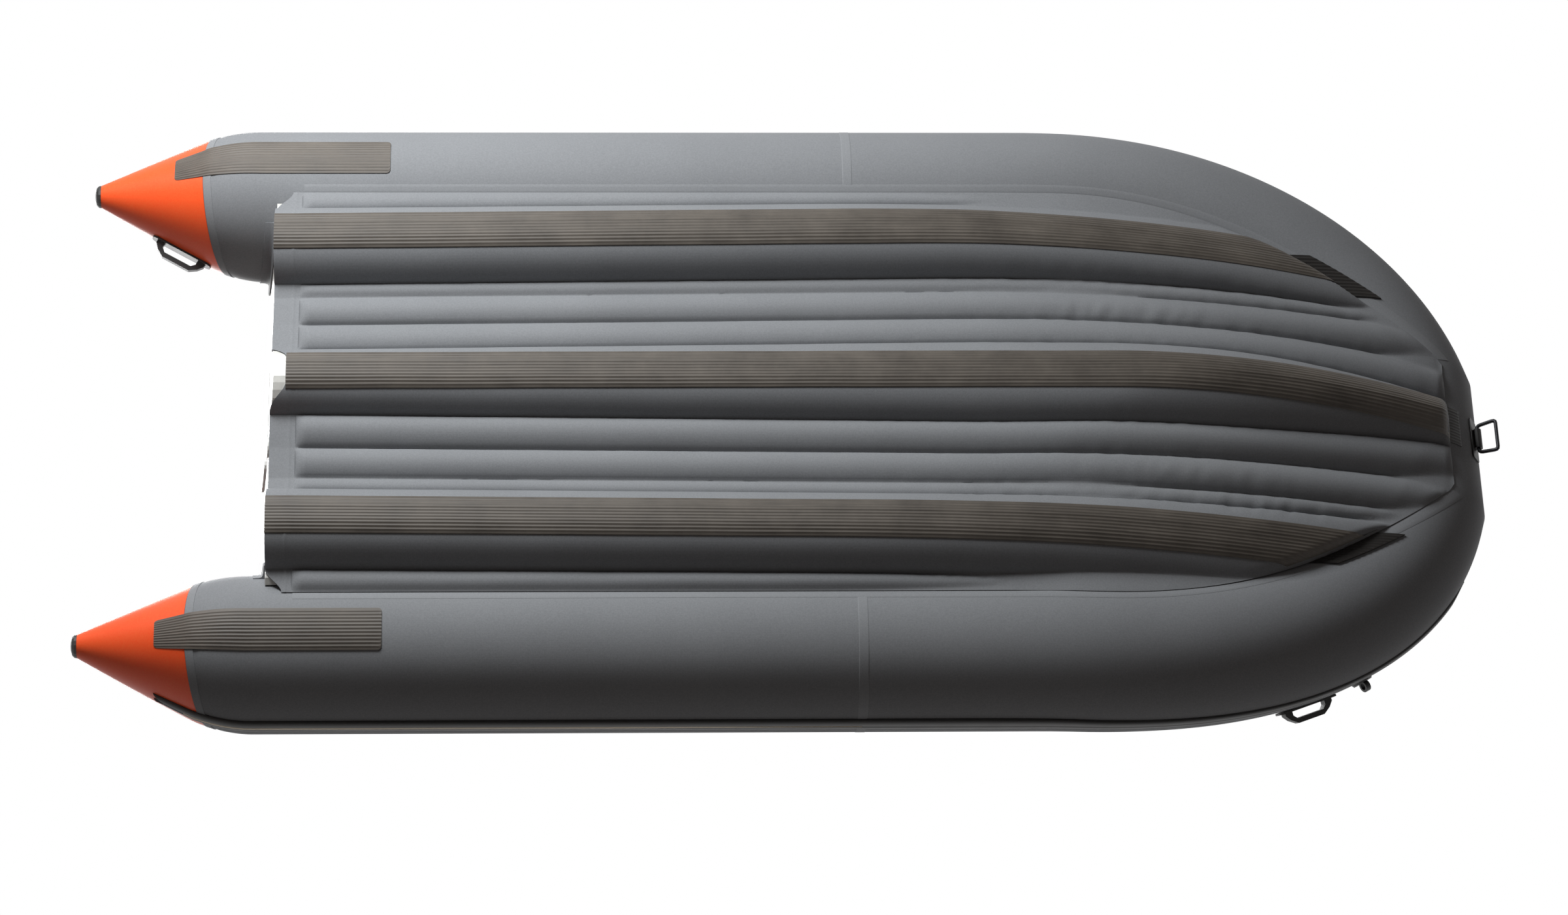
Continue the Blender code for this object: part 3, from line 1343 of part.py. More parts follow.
def clip_outline(frame):
    """The clip's hook round the rail's bead, and its wedge up to the level bench."""
    hollow = RAIL_BEAD_RADIUS + RUNNING_GAP
    neck = RAIL_NECK_WIDTH / 2 + RUNNING_GAP
    low = SEAT_GAP + RAIL_BASE_THICKNESS + RUNNING_GAP
    slot = neck_angle(neck, hollow)
    half = CLIP_WIDTH / 2
    top = bench_bottom() - SEAT_GAP
    across, out = frame.col[0].to_3d(), frame.col[1].to_3d()
    corners = []
    for u, spread in ((half, CLIP_WALL / 2), (-half, CLIP_WALL)):
        corner = frame @ Vector((u, low, 0))
        shift = Vector((0, math.copysign(spread, across.y * u), top - corner.z))
        offset = corner + shift - frame.translation
        corners.append((offset.dot(across), offset.dot(out)))
    outline = [(neck, low), (half, low), corners[0], corners[1], (-half, low), (-neck, low)]
    hook = circle_points(hollow, bead_height(), 360 - slot, slot, BEAD_STEPS)
    return outline + hook


def bench_bottom():
    """Height of the benches' underside, above the clips on their rails."""
    angle = math.radians((RAIL_FACET + 0.5) * STEP_ANGLE)
    reach = FACET_RADIUS + bead_height() + RAIL_BEAD_RADIUS + CLIP_WALL
    return TUBE_HEIGHT - reach * math.cos(angle) + CLIP_WIDTH / 2 * math.sin(angle) + SEAT_GAP


def add_bench(place, station):
    """A seat board across the boat, and the two clips that slide with it on the rails."""
    bottom = bench_bottom()
    centre = Vector((world_x(station), 0, bottom + BENCH_THICKNESS / 2))
    frame = axes(centre, Vector((1, 0, 0)), Vector((0, 1, 0)), Vector((0, 0, 1)))
    outline = corner_points(BENCH_WIDTH / 2, BENCH_HALF_SPAN, BENCH_CORNER)
    board = prism(f"bench_{place}", outline, BENCH_THICKNESS, frame, bench_plywood(), centre)
    for side_name, side in (("port", 1), ("starboard", -1)):
        place_frame = rail_frame(station, side)
        clip = prism(f"bench_clip_{place}_{side_name}", clip_outline(place_frame), CLIP_LENGTH, place_frame,
                     black_plastic(), centre)
        clip.parent = board
        clip.matrix_parent_inverse = Matrix.Translation(-centre)


def add_hull():
    """The tubes with the valves that are set into them."""
    tubes = {}
    for side_name, side in (("port", 1), ("starboard", -1)):
        tubes[side_name] = add_tube(side_name, side)
        add_cone(side_name, side)
        add_cone_tip(side_name, side)
        add_valve(side_name, tube_valve_frame(VALVE_STATION, side), tubes[side_name])
    add_valve("bow", tube_valve_frame(BOW_VALVE_STATION, 1), add_bow_tube())
    add_valve("floor", floor_valve_frame(), add_floor())


def add_underside():
    """Rubber on the bottom: skirt, keel strips, bow patches and skid strips."""
    add_skirt()
    add_keel_strip("keel_strip_centre", 0, SKIRT_AFT_STATION + SKIRT_NOTCH, FLOOR_ROWS)
    add_nose_patch()
    middle = side_keel()[0]
    for side_name, side in (("port", 1), ("starboard", -1)):
        add_keel_strip(f"keel_strip_{side_name}", side * middle, SKIRT_AFT_STATION, side_strip_rows())
        add_side_patch(side_name, side)
        add_skid_strip(side_name, side)


def main():
    for item in list(bpy.data.objects):
        bpy.data.objects.remove(item, do_unlink=True)
    add_hull()
    add_underside()
    add_transom()
    add_plates()
    add_drain()
    for side_name, side in (("port", 1), ("starboard", -1)):
        add_strake(side_name, side)
        add_holder(side_name, side)
        add_oarlock(side_name, side)
        add_rail(side_name, side)
    add_handles()
    add_eyes()
    add_strap()
    add_bow_ring()
    add_bench("aft", BENCH_AFT_STATION)
    add_bench("fore", BENCH_FORE_STATION)


main()
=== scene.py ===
# Inflatable boat with a three-keel air floor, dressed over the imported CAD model.
# Lengths are in metres. A station is a distance forward of the stern tips.
import json
import math

import bmesh
import bpy
from mathutils import Matrix, Vector, noise


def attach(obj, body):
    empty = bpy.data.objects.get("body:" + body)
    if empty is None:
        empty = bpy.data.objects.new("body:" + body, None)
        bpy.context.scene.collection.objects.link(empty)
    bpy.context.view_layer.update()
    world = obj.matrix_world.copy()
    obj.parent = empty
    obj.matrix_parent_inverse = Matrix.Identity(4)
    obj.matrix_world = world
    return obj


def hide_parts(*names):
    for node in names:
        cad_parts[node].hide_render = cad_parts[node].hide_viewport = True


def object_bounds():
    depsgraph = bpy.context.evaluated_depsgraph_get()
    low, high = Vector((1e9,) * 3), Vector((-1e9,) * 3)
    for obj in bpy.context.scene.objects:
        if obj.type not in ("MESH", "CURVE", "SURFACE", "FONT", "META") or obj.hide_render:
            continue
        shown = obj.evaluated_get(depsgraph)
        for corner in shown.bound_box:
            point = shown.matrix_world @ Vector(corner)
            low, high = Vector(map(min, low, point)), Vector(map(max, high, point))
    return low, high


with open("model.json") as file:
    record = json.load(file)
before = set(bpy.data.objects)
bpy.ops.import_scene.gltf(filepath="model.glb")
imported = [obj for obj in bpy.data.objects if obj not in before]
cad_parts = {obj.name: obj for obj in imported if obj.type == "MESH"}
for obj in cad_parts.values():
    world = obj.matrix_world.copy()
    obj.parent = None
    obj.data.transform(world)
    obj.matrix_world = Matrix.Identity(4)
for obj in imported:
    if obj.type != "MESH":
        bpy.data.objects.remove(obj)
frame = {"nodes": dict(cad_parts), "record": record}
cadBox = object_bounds()
print("frame loaded:", len(frame["nodes"]), "nodes")

hull = {
    "length": 3.663,
    "radius": 0.200,
    "halfSpacing": 0.680,
    "height": 0.286,
    "coneLength": 0.305,
    "coneDrop": 0.052,
    "coneDropPower": 1.3,
    "coneTipRadius": 0.0225,
    "coneBaseShare": 0.86,
    "capLength": 0.0155,
    "shoulder": 0.145,
    "chamber": 1.990,
    "sheerStart": 2.450,
    "curveStart": 2.550,
    "reachShare": 0.976471,
    "fullness": 2.15,
    "bowRise": 0.180,
    "sheerPower": 1.7,
    "bowSkinInset": 0.0010,     # lets the CAD's flat-seated fittings stand clear of the round skin
    "lapLift": 0.003,
    "lapAngle": 22.5,
    "noseLapAngle": -28.0,
    "lapPower": 4.2,
    "floorLift": 0.0034,     # room for a strip under each keel
}
hull["nose"] = hull["length"] - hull["radius"]
originX = (cadBox[1][0] - cadBox[0][0]) / 2     # the station that lies at x = 0
lapReach = hull["radius"] + hull["lapLift"]
lapHeight = hull["height"] - lapReach * math.cos(math.radians(hull["lapAngle"])) - hull["floorLift"]


# small helpers

bothSides = (("port", 1), ("starboard", -1))
mergeGap = 0.00002
leastEdge = 0.00003


def mixed(a, b, share):
    return a + (b - a) * share


def eased(share):
    share = min(1.0, max(0.0, share))
    return share * share * (3 - 2 * share)


def ripple(x, y, z):
    return noise.noise(Vector((x, y, z)))


def sided(points, side):
    # Points of the port side, mirrored for the starboard side.
    return points if side > 0 else [Vector((p.x, -p.y, p.z)) for p in points]


def newCloth():
    mesh = bmesh.new()
    return mesh, mesh.loops.layers.uv.new("cloth")


def makeObject(name, mesh, finish, smoothAngle=60):
    # Mesh to object: merged, turned outward and shaded.
    bmesh.ops.remove_doubles(mesh, verts=mesh.verts, dist=mergeGap)
    bmesh.ops.recalc_face_normals(mesh, faces=mesh.faces)
    if mesh.calc_volume(signed=True) < 0:
        bmesh.ops.reverse_faces(mesh, faces=mesh.faces)
    data = bpy.data.meshes.new(name)
    mesh.to_mesh(data)
    mesh.free()
    made = bpy.data.objects.new(name, data)
    bpy.context.collection.objects.link(made)
    data.materials.append(finish)
    data.shade_smooth()
    data.set_sharp_from_angle(angle=math.radians(smoothAngle))
    return made


def gridInto(mesh, uvLayer, rows, uvRows, wrap=False, flip=False):
    # Quads between rows of points, with a UV in metres for each point.
    made = [[mesh.verts.new(p) for p in row] for row in rows]
    for j in range(len(rows) - 1):
        count = len(rows[j]) if wrap else len(rows[j]) - 1
        for k in range(count):
            after = (k + 1) % len(rows[j])
            corners = [(j, k), (j, after), (j + 1, after), (j + 1, k)]
            if flip:
                corners.reverse()
            spots = [made[a][b].co for a, b in corners]
            keep = [i for i in range(4) if (spots[i] - spots[i - 1]).length > leastEdge]
            if len(keep) < 3:
                continue
            face = mesh.faces.new([made[corners[i][0]][corners[i][1]] for i in keep])
            for loop, i in zip(face.loops, keep):
                a, b = corners[i]
                spot = uvRows[a][b]
                if wrap and after == 0 and b == 0:
                    spot = (spot[0], uvRows[a][-1][1] + (uvRows[a][-1][1] - uvRows[a][-2][1]))
                loop[uvLayer].uv = spot
    return made


def thinShell(name, rows, finish, side=1, smoothAngle=60):
    # A closed thin piece from rows of (outer point, inner point, UV).
    mesh, uvLayer = newCloth()
    outer = [sided([top for top, _, _ in row], side) for row in rows]
    inner = [sided([sole for _, sole, _ in row], side) for row in rows]
    uvRows = [[spot for _, _, spot in row] for row in rows]
    edge = []
    for grid in (gridInto(mesh, uvLayer, outer, uvRows), gridInto(mesh, uvLayer, inner, uvRows, flip=True)):
        edge.append(grid[0] + [row[-1] for row in grid[1:]] + list(reversed(grid[-1]))[1:]
                    + [row[0] for row in reversed(grid[1:-1])])
    for i in range(len(edge[0])):
        k = (i + 1) % len(edge[0])
        corners = []
        for vert in (edge[0][i], edge[0][k], edge[1][k], edge[1][i]):
            if vert not in corners:
                corners.append(vert)
        if len(corners) > 2 and mesh.faces.get(corners) is None:
            mesh.faces.new(corners)
    return makeObject(name, mesh, finish, smoothAngle)


# materials

def srgb(code):
    values = []
    for i in (0, 2, 4):
        c = int(code[i:i + 2], 16) / 255
        values.append(c / 12.92 if c <= 0.04045 else ((c + 0.055) / 1.055) ** 2.4)
    return (*values, 1.0)


def addNode(tree, kind, settings=None, inputs=None, links=None):
    # Adds a node, with its settings, its fixed inputs and what feeds it.
    node = tree.nodes.new(kind)
    for key, value in (settings or {}).items():
        setattr(node, key, value)
    for key, value in (inputs or {}).items():
        node.inputs[key].default_value = value
    for key, socket in (links or {}).items():
        tree.links.new(socket, node.inputs[key])
    return node


def newMaterial(name):
    made = bpy.data.materials.new(name)
    made.use_nodes = True
    return made, made.node_tree, made.node_tree.nodes["Principled BSDF"]


def objectPlace(tree):
    return addNode(tree, "ShaderNodeTexCoord").outputs["Object"]


def clothPlace(tree):
    # places on the cloth as it is cut, in metres
    return addNode(tree, "ShaderNodeUVMap", {"uv_map": "cloth"}).outputs["UV"]


def stretched(tree, vector, scale):
    return addNode(tree, "ShaderNodeMapping", inputs={"Scale": scale}, links={"Vector": vector}).outputs["Vector"]


def noiseAt(tree, vector, scale, detail, roughness=0.5, distortion=0.0):
    inputs = {"Scale": scale, "Detail": detail, "Roughness": roughness, "Distortion": distortion}
    return addNode(tree, "ShaderNodeTexNoise", inputs=inputs, links={"Vector": vector}).outputs["Fac"]


def blended(tree, a, b, share):
    node = addNode(tree, "ShaderNodeMix", {"data_type": "FLOAT"}, {"Factor": share}, {"A": a, "B": b})
    return node.outputs["Result"]


def bumped(tree, height, strength, distance, under=None):
    links = {"Height": height} if under is None else {"Height": height, "Normal": under}
    node = addNode(tree, "ShaderNodeBump", inputs={"Strength": strength, "Distance": distance}, links=links)
    return node.outputs["Normal"]


def tint(tree, shader, tone, dark, base, low, high):
    # base colour: dark up to the low value of the tone, base from the high value on
    node = addNode(tree, "ShaderNodeValToRGB", links={"Fac": tone})
    for element, place, code in zip(node.color_ramp.elements, (low, high), (dark, base)):
        element.position, element.color = place, srgb(code)
    tree.links.new(node.outputs["Color"], shader.inputs["Base Color"])


def sheen(tree, shader, source, low, high):
    node = addNode(tree, "ShaderNodeMapRange", inputs={"To Min": low, "To Max": high}, links={"Value": source})
    tree.links.new(node.outputs["Result"], shader.inputs["Roughness"])


def coatedCloth(name, base, dark, roughness, shine):
    # Polyester cloth with a calendered PVC coat: a dull leather-like grain over a faint weave, soft broad
    # highlights, scuffs a little paler than the coat and slow colour drift from handling.
    made, tree, shader = newMaterial(name)
    place, cloth = objectPlace(tree), clothPlace(tree)
    drift = noiseAt(tree, place, 3.2, 4.0, 0.55)
    speck = noiseAt(tree, place, 260.0, 3.0, 0.7)      # grain drawn at 4 mm, the real one is 0.5 mm
    tint(tree, shader, blended(tree, drift, speck, 0.75), dark, base, 0.36, 0.64)
    # threads 1.2 mm apart in the coat, drawn at 3 mm so that they show
    warp, weft = [addNode(tree, "ShaderNodeTexWave", {"bands_direction": way}, {"Scale": 52.0, "Distortion": 0.4},
                          {"Vector": cloth}).outputs["Fac"] for way in "XY"]
    weave = addNode(tree, "ShaderNodeMath", {"operation": "MULTIPLY"}, links={0: warp, 1: weft}).outputs["Value"]
    # slack in the skin: shallow creases a few centimetres long
    slack = bumped(tree, noiseAt(tree, place, 14.0, 2.0, distortion=0.6), 0.15, 0.0012)
    coat = bumped(tree, speck, 0.5, 0.00010, slack)
    tree.links.new(bumped(tree, weave, 0.25, 0.00012, coat), shader.inputs["Normal"])
    sheen(tree, shader, drift, roughness - 0.06, roughness + 0.08)
    shader.inputs["IOR"].default_value = 1.48
    shader.inputs["Specular IOR Level"].default_value = shine
    return made


def extrudedRubber(name, base, dark, roughness):
    # Extruded wear strip, synthetic rubber: dull, with fine streaks along its ribs and chafed, dusty crowns.
    made, tree, shader = newMaterial(name)
    streak = noiseAt(tree, stretched(tree, clothPlace(tree), (6.0, 420.0, 1.0)), 1.0, 3.0, 0.6)
    scuff = noiseAt(tree, objectPlace(tree), 9.0, 5.0, 0.62)
    tint(tree, shader, blended(tree, streak, scuff, 0.5), dark, base, 0.34, 0.66)
    tree.links.new(bumped(tree, streak, 0.5, 0.0003), shader.inputs["Normal"])
    sheen(tree, shader, scuff, roughness - 0.08, roughness + 0.08)
    shader.inputs["IOR"].default_value = 1.52
    return made


def mouldedPiece(name, base, dark, roughness):
    # Injection-moulded part: even colour with a faint cloud, a fine spark-eroded texture and greasy polish on edges.
    made, tree, shader = newMaterial(name)
    place = objectPlace(tree)
    cloud = noiseAt(tree, place, 18.0, 3.0)
    tint(tree, shader, cloud, dark, base, 0.35, 0.65)
    spark = noiseAt(tree, place, 700.0, 2.0)
    tree.links.new(bumped(tree, spark, 0.4, 0.00008), shader.inputs["Normal"])
    sheen(tree, shader, cloud, roughness - 0.07, roughness + 0.07)
    shader.inputs["IOR"].default_value = 1.5
    return made


def paintedPlywood(name, base, dark, roughness):
    # Marine plywood under two-part paint, rolled on: a light orange-peel, grain telegraphing through, scuffed dirt.
    made, tree, shader = newMaterial(name)
    place = objectPlace(tree)
    grainLine = noiseAt(tree, stretched(tree, place, (60.0, 3.0, 60.0)), 1.0, 5.0, distortion=0.8)
    dirt = noiseAt(tree, place, 7.0, 6.0, 0.65)
    tint(tree, shader, blended(tree, grainLine, dirt, 0.6), dark, base, 0.30, 0.58)
    wood = bumped(tree, grainLine, 0.4, 0.0003)
    peel = noiseAt(tree, place, 320.0, 1.0)
    tree.links.new(bumped(tree, peel, 0.3, 0.00015, wood), shader.inputs["Normal"])
    shader.inputs["Roughness"].default_value = roughness
    shader.inputs["Coat Weight"].default_value = 0.25
    shader.inputs["Coat Roughness"].default_value = 0.25
    return made


def shadeDarkenedSteel(name):
    # Steel wire coloured near black: the dark colour is painted shade of the bow and a painted dark reflection; fine
    # drawn lines and a soft sheen where hands and rope rub it.
    made, tree, shader = newMaterial(name)
    line = noiseAt(tree, objectPlace(tree), 420.0, 2.0)
    tint(tree, shader, line, "1C1C1E", "39393B", 0.3, 0.7)
    sheen(tree, shader, line, 0.38, 0.55)
    shader.inputs["Metallic"].default_value = 1.0
    return made


finishes = {
    "greyCloth": coatedCloth("coated_cloth_grey", "898B8E", "7D7F82", 0.64, 0.14),
    "orangeCloth": coatedCloth("coated_cloth_orange", "FF632C", "FF531F", 0.42, 0.45),
    "seamTape": coatedCloth("seam_tape_grey", "8C8E91", "828487", 0.60, 0.18),
    "ribbedRubber": extrudedRubber("extruded_rubber_grey", "645D55", "453F39", 0.60),
    # the bow patches: the strips' rubber coloured much darker, partly painted shade of the bow
    "bowShadeRubber": extrudedRubber("extruded_rubber_bow_shade", "221D19", "14110F", 0.62),
    "blackRubber": mouldedPiece("moulded_rubber_black", "211F1F", "161515", 0.50),
    "creamStripe": mouldedPiece("vinyl_insert_cream", "F1E6D2", "E3D6BF", 0.45),
    "blackPlastic": mouldedPiece("nylon_black", "26262A", "1B1B1E", 0.42),
    "greyPlastic": mouldedPiece("nylon_grey", "7F8286", "6C6F73", 0.45),
    "whitePlastic": mouldedPiece("polypropylene_white", "D5D6D4", "C8C9C6", 0.42),
    "paintedBoard": paintedPlywood("painted_plywood_pale", "DAD9D4", "B9B8B2", 0.42),
    "seatBoard": paintedPlywood("painted_plywood_grey", "94989A", "7C8082", 0.46),
    "ringSteel": shadeDarkenedSteel("wire_darkened_for_shade"),
}
slotFinish = {
    "hull_fabric": "greyCloth", "cone_fabric": "orangeCloth", "ribbed_rubber": "ribbedRubber",
    "black_rubber": "blackRubber", "marine_plywood": "paintedBoard", "bench_plywood": "seatBoard",
    "black_plastic": "blackPlastic", "grey_plastic": "greyPlastic", "white_plastic": "whitePlastic",
    "stainless_steel": "ringSteel",
}
for part in frame["record"]["subparts"]:
    node = bpy.data.objects.get(part["node"])
    if node is not None:
        for slot in node.material_slots:
            slot.material = finishes[slotFinish[part["material_slot"]]]
print("materials made:", len(finishes))


# the shape of the hull, as the CAD has it

def xOf(station):
    return station - originX


def sheerAt(station):
    if station <= hull["sheerStart"]:
        return 0.0
    way = (station - hull["sheerStart"]) / (hull["nose"] - hull["sheerStart"])
    return hull["bowRise"] * way ** hull["sheerPower"]


def radiusAt(station):
    base = hull["radius"] * hull["coneBaseShare"]
    if station <= hull["coneLength"]:
        return mixed(hull["coneTipRadius"], base, station / hull["coneLength"])
    if station >= hull["coneLength"] + hull["shoulder"]:
        return hull["radius"]
    rest = 1 - (station - hull["coneLength"]) / hull["shoulder"]
    return hull["radius"] - (hull["radius"] - base) * rest ** 2


class Ring:
    # One section of the port tube: centre, level inward direction, radius and distance along.

    def __init__(self, centre, inward, radius, along, bowWay=None):
        self.centre, self.inward, self.radius = centre, inward, radius
        self.along, self.bowWay = along, bowWay

    def at(self, degrees, lift=0.0):
        angle = math.radians(degrees)
        reach = self.radius + lift
        return self.centre + self.inward * (reach * math.sin(angle)) - Vector((0, 0, reach * math.cos(angle)))


def straightRing(station):
    fade = max(0.0, 1 - station / (hull["coneLength"] + hull["shoulder"]))
    drop = hull["coneDrop"] * fade ** hull["coneDropPower"]
    centre = Vector((xOf(station), hull["halfSpacing"], hull["height"] - drop + sheerAt(station)))
    return Ring(centre, Vector((0, -1, 0)), radiusAt(station), station)


curveReach = (hull["nose"] - hull["curveStart"]) / hull["reachShare"]
lastAngle = math.asin(hull["reachShare"] ** (hull["fullness"] / 2))


def curveSpot(way):
    angle = max(0.0, lastAngle * way)
    station = hull["curveStart"] + curveReach * math.sin(angle) ** (2 / hull["fullness"])
    side = hull["halfSpacing"] * math.cos(angle) ** (2 / hull["fullness"])
    return Vector((xOf(station), side, hull["height"] + sheerAt(station)))


def bowRing(way, along):
    step = 0.004
    ahead, behind = curveSpot(min(1.0, way + step)), curveSpot(max(0.0, way - step))
    tangent = (ahead - behind).to_2d().normalized()
    if way < 0.06:
        tangent = Vector((1, 0)).lerp(tangent, way / 0.06).normalized()
    if way >= 1.0:
        tangent = (tangent + Vector((0, -1))).normalized()
        stretch = 1 / max(0.8, abs(tangent.dot(Vector((0, -1)))))
    else:
        stretch = 1.0
    inward = Vector((tangent.y, -tangent.x, 0)) * stretch
    return Ring(curveSpot(way), inward, hull["radius"] - hull["bowSkinInset"] * eased(way * 8), along, way)


def noseRing(y, along):
    centre = Vector((xOf(hull["nose"]), y, hull["height"] + hull["bowRise"]))
    return Ring(centre, Vector((-1, 0, 0)), hull["radius"] - hull["bowSkinInset"], along, 1.0)


def bowRings():
    # Port half of the bow chamber, from its seam to the middle of the nose.
    start, end = hull["chamber"] + tubeLook["seamGap"], hull["curveStart"] - 0.03
    rings = [straightRing(mixed(start, end, i / 12)) for i in range(13)]
    curved, along = 64, hull["curveStart"]
    before = None
    for i in range(curved + 1):
        way = i / curved
        spot = curveSpot(way)
        if before is not None:
            along += (spot - before).length
        before = spot
        rings.append(bowRing(way, along))
    corner = curveSpot(1.0)
    for share in (0.72, 0.42, 0.2, 0.0):
        y = corner.y * share
        rings.append(noseRing(y, along + corner.y - y))
    return rings


# the tubes and cones

tubeLook = {"sides": 112, "coneSides": 96, "seamDip": 0.0012, "seamWidth": 0.006, "seamGap": 0.0004, "joint": 0.323,
            "jointLean": 0.18, "tapeWidth": 0.021, "jointLift": 0.0011, "chamberTape": 0.025, "chamberLift": 0.0007,
            "coneSwell": 0.0016}
tapeSole = -0.0015     # how far a tape's underside lies in the skin
portBow = bowRings()


def ringPoints(ring, sides, side=1):
    return sided([ring.at(360 * k / sides) for k in range(sides)], side)


def ringUv(ring, sides):
    return [(ring.along, math.tau * hull["radius"] * k / sides) for k in range(sides)]


def leanAt(station):
    # how far the joint of cone and tube leans forward at its top; the lean dies out to both sides
    if station < tubeLook["joint"]:
        return tubeLook["jointLean"] * eased((station - 0.03) / (tubeLook["joint"] - 0.03))
    return tubeLook["jointLean"] * (1 - eased((station - tubeLook["joint"]) / 0.14))


def leaningRow(station, sides, side, lift=0.0):
    # points and UVs round the tube along a leaning section
    points, spots = [], []
    reach = leanAt(station) * radiusAt(station)
    for k in range(sides):
        angle = 360 * k / sides
        at = station - reach * math.cos(math.radians(angle))
        points.append(straightRing(at).at(angle, lift))
        spots.append((at, math.tau * hull["radius"] * k / sides))
    return sided(points, side), spots


def closedTube(name, rows, uvRows, finish, smoothAngle=50):
    # a tube skin through rows of points, its ends closed flat
    mesh, uvLayer = newCloth()
    made = gridInto(mesh, uvLayer, rows, uvRows, wrap=True)
    mesh.faces.new(made[0])
    mesh.faces.new(made[-1])
    return makeObject(name, mesh, finish, smoothAngle)


def sideTube(sideName, side):
    joint = tubeLook["joint"]
    stations = [joint + 0.0003 + 0.009 * i for i in range(16)]
    stations += [mixed(0.475, hull["chamber"] - tubeLook["seamGap"], i / 46) for i in range(47)]
    rows, uvs = [], []
    tapeEdge = joint + tubeLook["tapeWidth"] + 0.003
    for s in stations:
        # the skin is nipped in where it is bonded under the joint's tape
        nip = -tubeLook["seamDip"] * math.exp(-((s - tapeEdge) / tubeLook["seamWidth"]) ** 2)
        points, spots = leaningRow(s, tubeLook["sides"], side, nip)
        rows.append(points)
        uvs.append(spots)
    skin = closedTube(f"tube_{sideName}_skin", rows, uvs, finishes["greyCloth"])
    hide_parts(f"tube_{sideName}")
    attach(skin, "hull")


def bowTube():
    sides = tubeLook["sides"]
    middle = portBow[-1].along
    rows = [ringPoints(r, sides) for r in portBow]
    uvs = [ringUv(r, sides) for r in portBow]
    for ring in reversed(portBow[:-1]):
        rows.append(ringPoints(ring, sides, -1))
        uvs.append([(2 * middle - ring.along, v) for _, v in ringUv(ring, sides)])
    skin = closedTube("tube_bow_skin", rows, uvs, finishes["greyCloth"])
    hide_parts("tube_bow")
    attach(skin, "hull")


def coneSkin(sideName, side):
    rows, uvs = [], []
    for i in range(31):
        # the cone swells slightly between its ends under pressure
        swell = tubeLook["coneSwell"] * math.sin(math.pi * i / 30)
        station = mixed(hull["capLength"], tubeLook["joint"] - tubeLook["seamGap"], i / 30)
        points, spots = leaningRow(station, tubeLook["coneSides"], side, swell)
        rows.append(points)
        uvs.append(spots)
    skin = closedTube(f"cone_{sideName}_skin", rows, uvs, finishes["orangeCloth"])
    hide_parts(f"cone_{sideName}")
    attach(skin, "hull")


def collarTape(name, stations, side, lift, finish):
    # a tape right round the tube, its two edges sunk into the skin
    mesh, uvLayer = newCloth()
    last = len(stations) - 1
    lifts = [tapeSole] + [0.0002 if i in (0, last) else lift for i in range(last + 1)] + [tapeSole]
    rows, uvs = [], []
    for s, rise in zip([stations[0]] + stations + [stations[-1]], lifts):
        points, spots = leaningRow(s, tubeLook["sides"], side, rise)
        rows.append(points)
        uvs.append(spots)
    gridInto(mesh, uvLayer, rows + [rows[0]], uvs + [uvs[0]], wrap=True)
    made = makeObject(name, mesh, finish)
    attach(made, "hull")


def stretchOf(start, width):
    return [start + width * share for share in (0.0, 0.04, 0.10, 0.5, 0.90, 0.96, 1.0)]


jointTape = stretchOf(tubeLook["joint"] + 0.0002, tubeLook["tapeWidth"])
chamberTape = stretchOf(hull["chamber"] - tubeLook["chamberTape"] / 2, tubeLook["chamberTape"])
for sideName, side in bothSides:
    sideTube(sideName, side)
    coneSkin(sideName, side)
    collarTape(f"cone_joint_tape_{sideName}", jointTape, side, tubeLook["jointLift"], finishes["seamTape"])
    collarTape(f"chamber_tape_{sideName}", chamberTape, side, tubeLook["chamberLift"], finishes["seamTape"])
bowTube()
print("tubes and cones made")


# the air floor

floorShape = {
    "depth": 0.92581 * lapHeight,
    "seams": ((0.140, 0.81), (0.272, 0.99), (0.399, 1.07), (0.457, 1.00), (0.794, 1.00)),
    # places of the same seams by x: amidships, at the shoulder and at the nose
    "drawnSeams": ((0.46, (0.118, 0.204, 0.290, 0.331, 0.557)), (1.07, (0.114, 0.199, 0.288, 0.331, 0.555)),
                   (1.68, (0.069, 0.180, 0.286, 0.320, 0.545))),
    "ribSag": 0.018,
    "sideRibSag": 0.006,
    "outerRibSag": 0.012,
    "keelFlat": 0.040,
    "aft": 0.556,
    "deckAft": 0.580,
    "runout": 0.026,
    "centreStart": 2.750,
    "sideStart": 2.000,
    "sideEnd": 3.280,
    # rise at the bow, by share of the side keels' spacing
    "tops": ((0.0, 0.222), (0.44, 0.204), (0.64, 0.186), (1.0, 0.200), (1.3, 0.200)),
    "centrePower": 1.8,
    "sidePower": 2.3,
    "fade": 0.42,
    "fuller": 0.6,     # how much the ribs swell again where the keels flatten out
    "rows": 230,
    "deckAngle": 56.25,
    "deckSag": 0.007,
    "edgeRound": 0.022,
    "noseRound": 0.024,
    "tubeGap": 0.0012,
    "seamNip": 0.0030,
    "seamWidth": 0.0045,
}
seams = [(hull["halfSpacing"] * y, floorShape["depth"] * z) for y, z in floorShape["seams"]]
sideMiddle, sideHalf = (seams[3][0] + seams[4][0]) / 2, (seams[4][0] - seams[3][0]) / 2
noseEdge = hull["nose"] - lapReach * math.sin(math.radians(hull["noseLapAngle"]))
lapY = hull["halfSpacing"] - lapReach * math.sin(math.radians(hull["lapAngle"]))
seamPlaces = [0.0] + [at for at, _ in seams] + [lapY, 1.0]
seamKnots = [(xOf(floorShape["aft"]), seamPlaces)]
seamKnots += [(x, [0.0] + list(places) + [lapY, 1.0]) for x, places in floorShape["drawnSeams"]]


def seamsAt(x):
    # the seams spread a little amidships and crowd together towards the nose
    if x <= seamKnots[0][0]:
        return seamPlaces
    for (x0, near), (x1, far) in zip(seamKnots, seamKnots[1:]):
        if x <= x1:
            share = (x - x0) / (x1 - x0)
            return [mixed(a, b, share if x1 < 1.5 else share ** 1.5) for a, b in zip(near, far)]
    return seamKnots[-1][1]


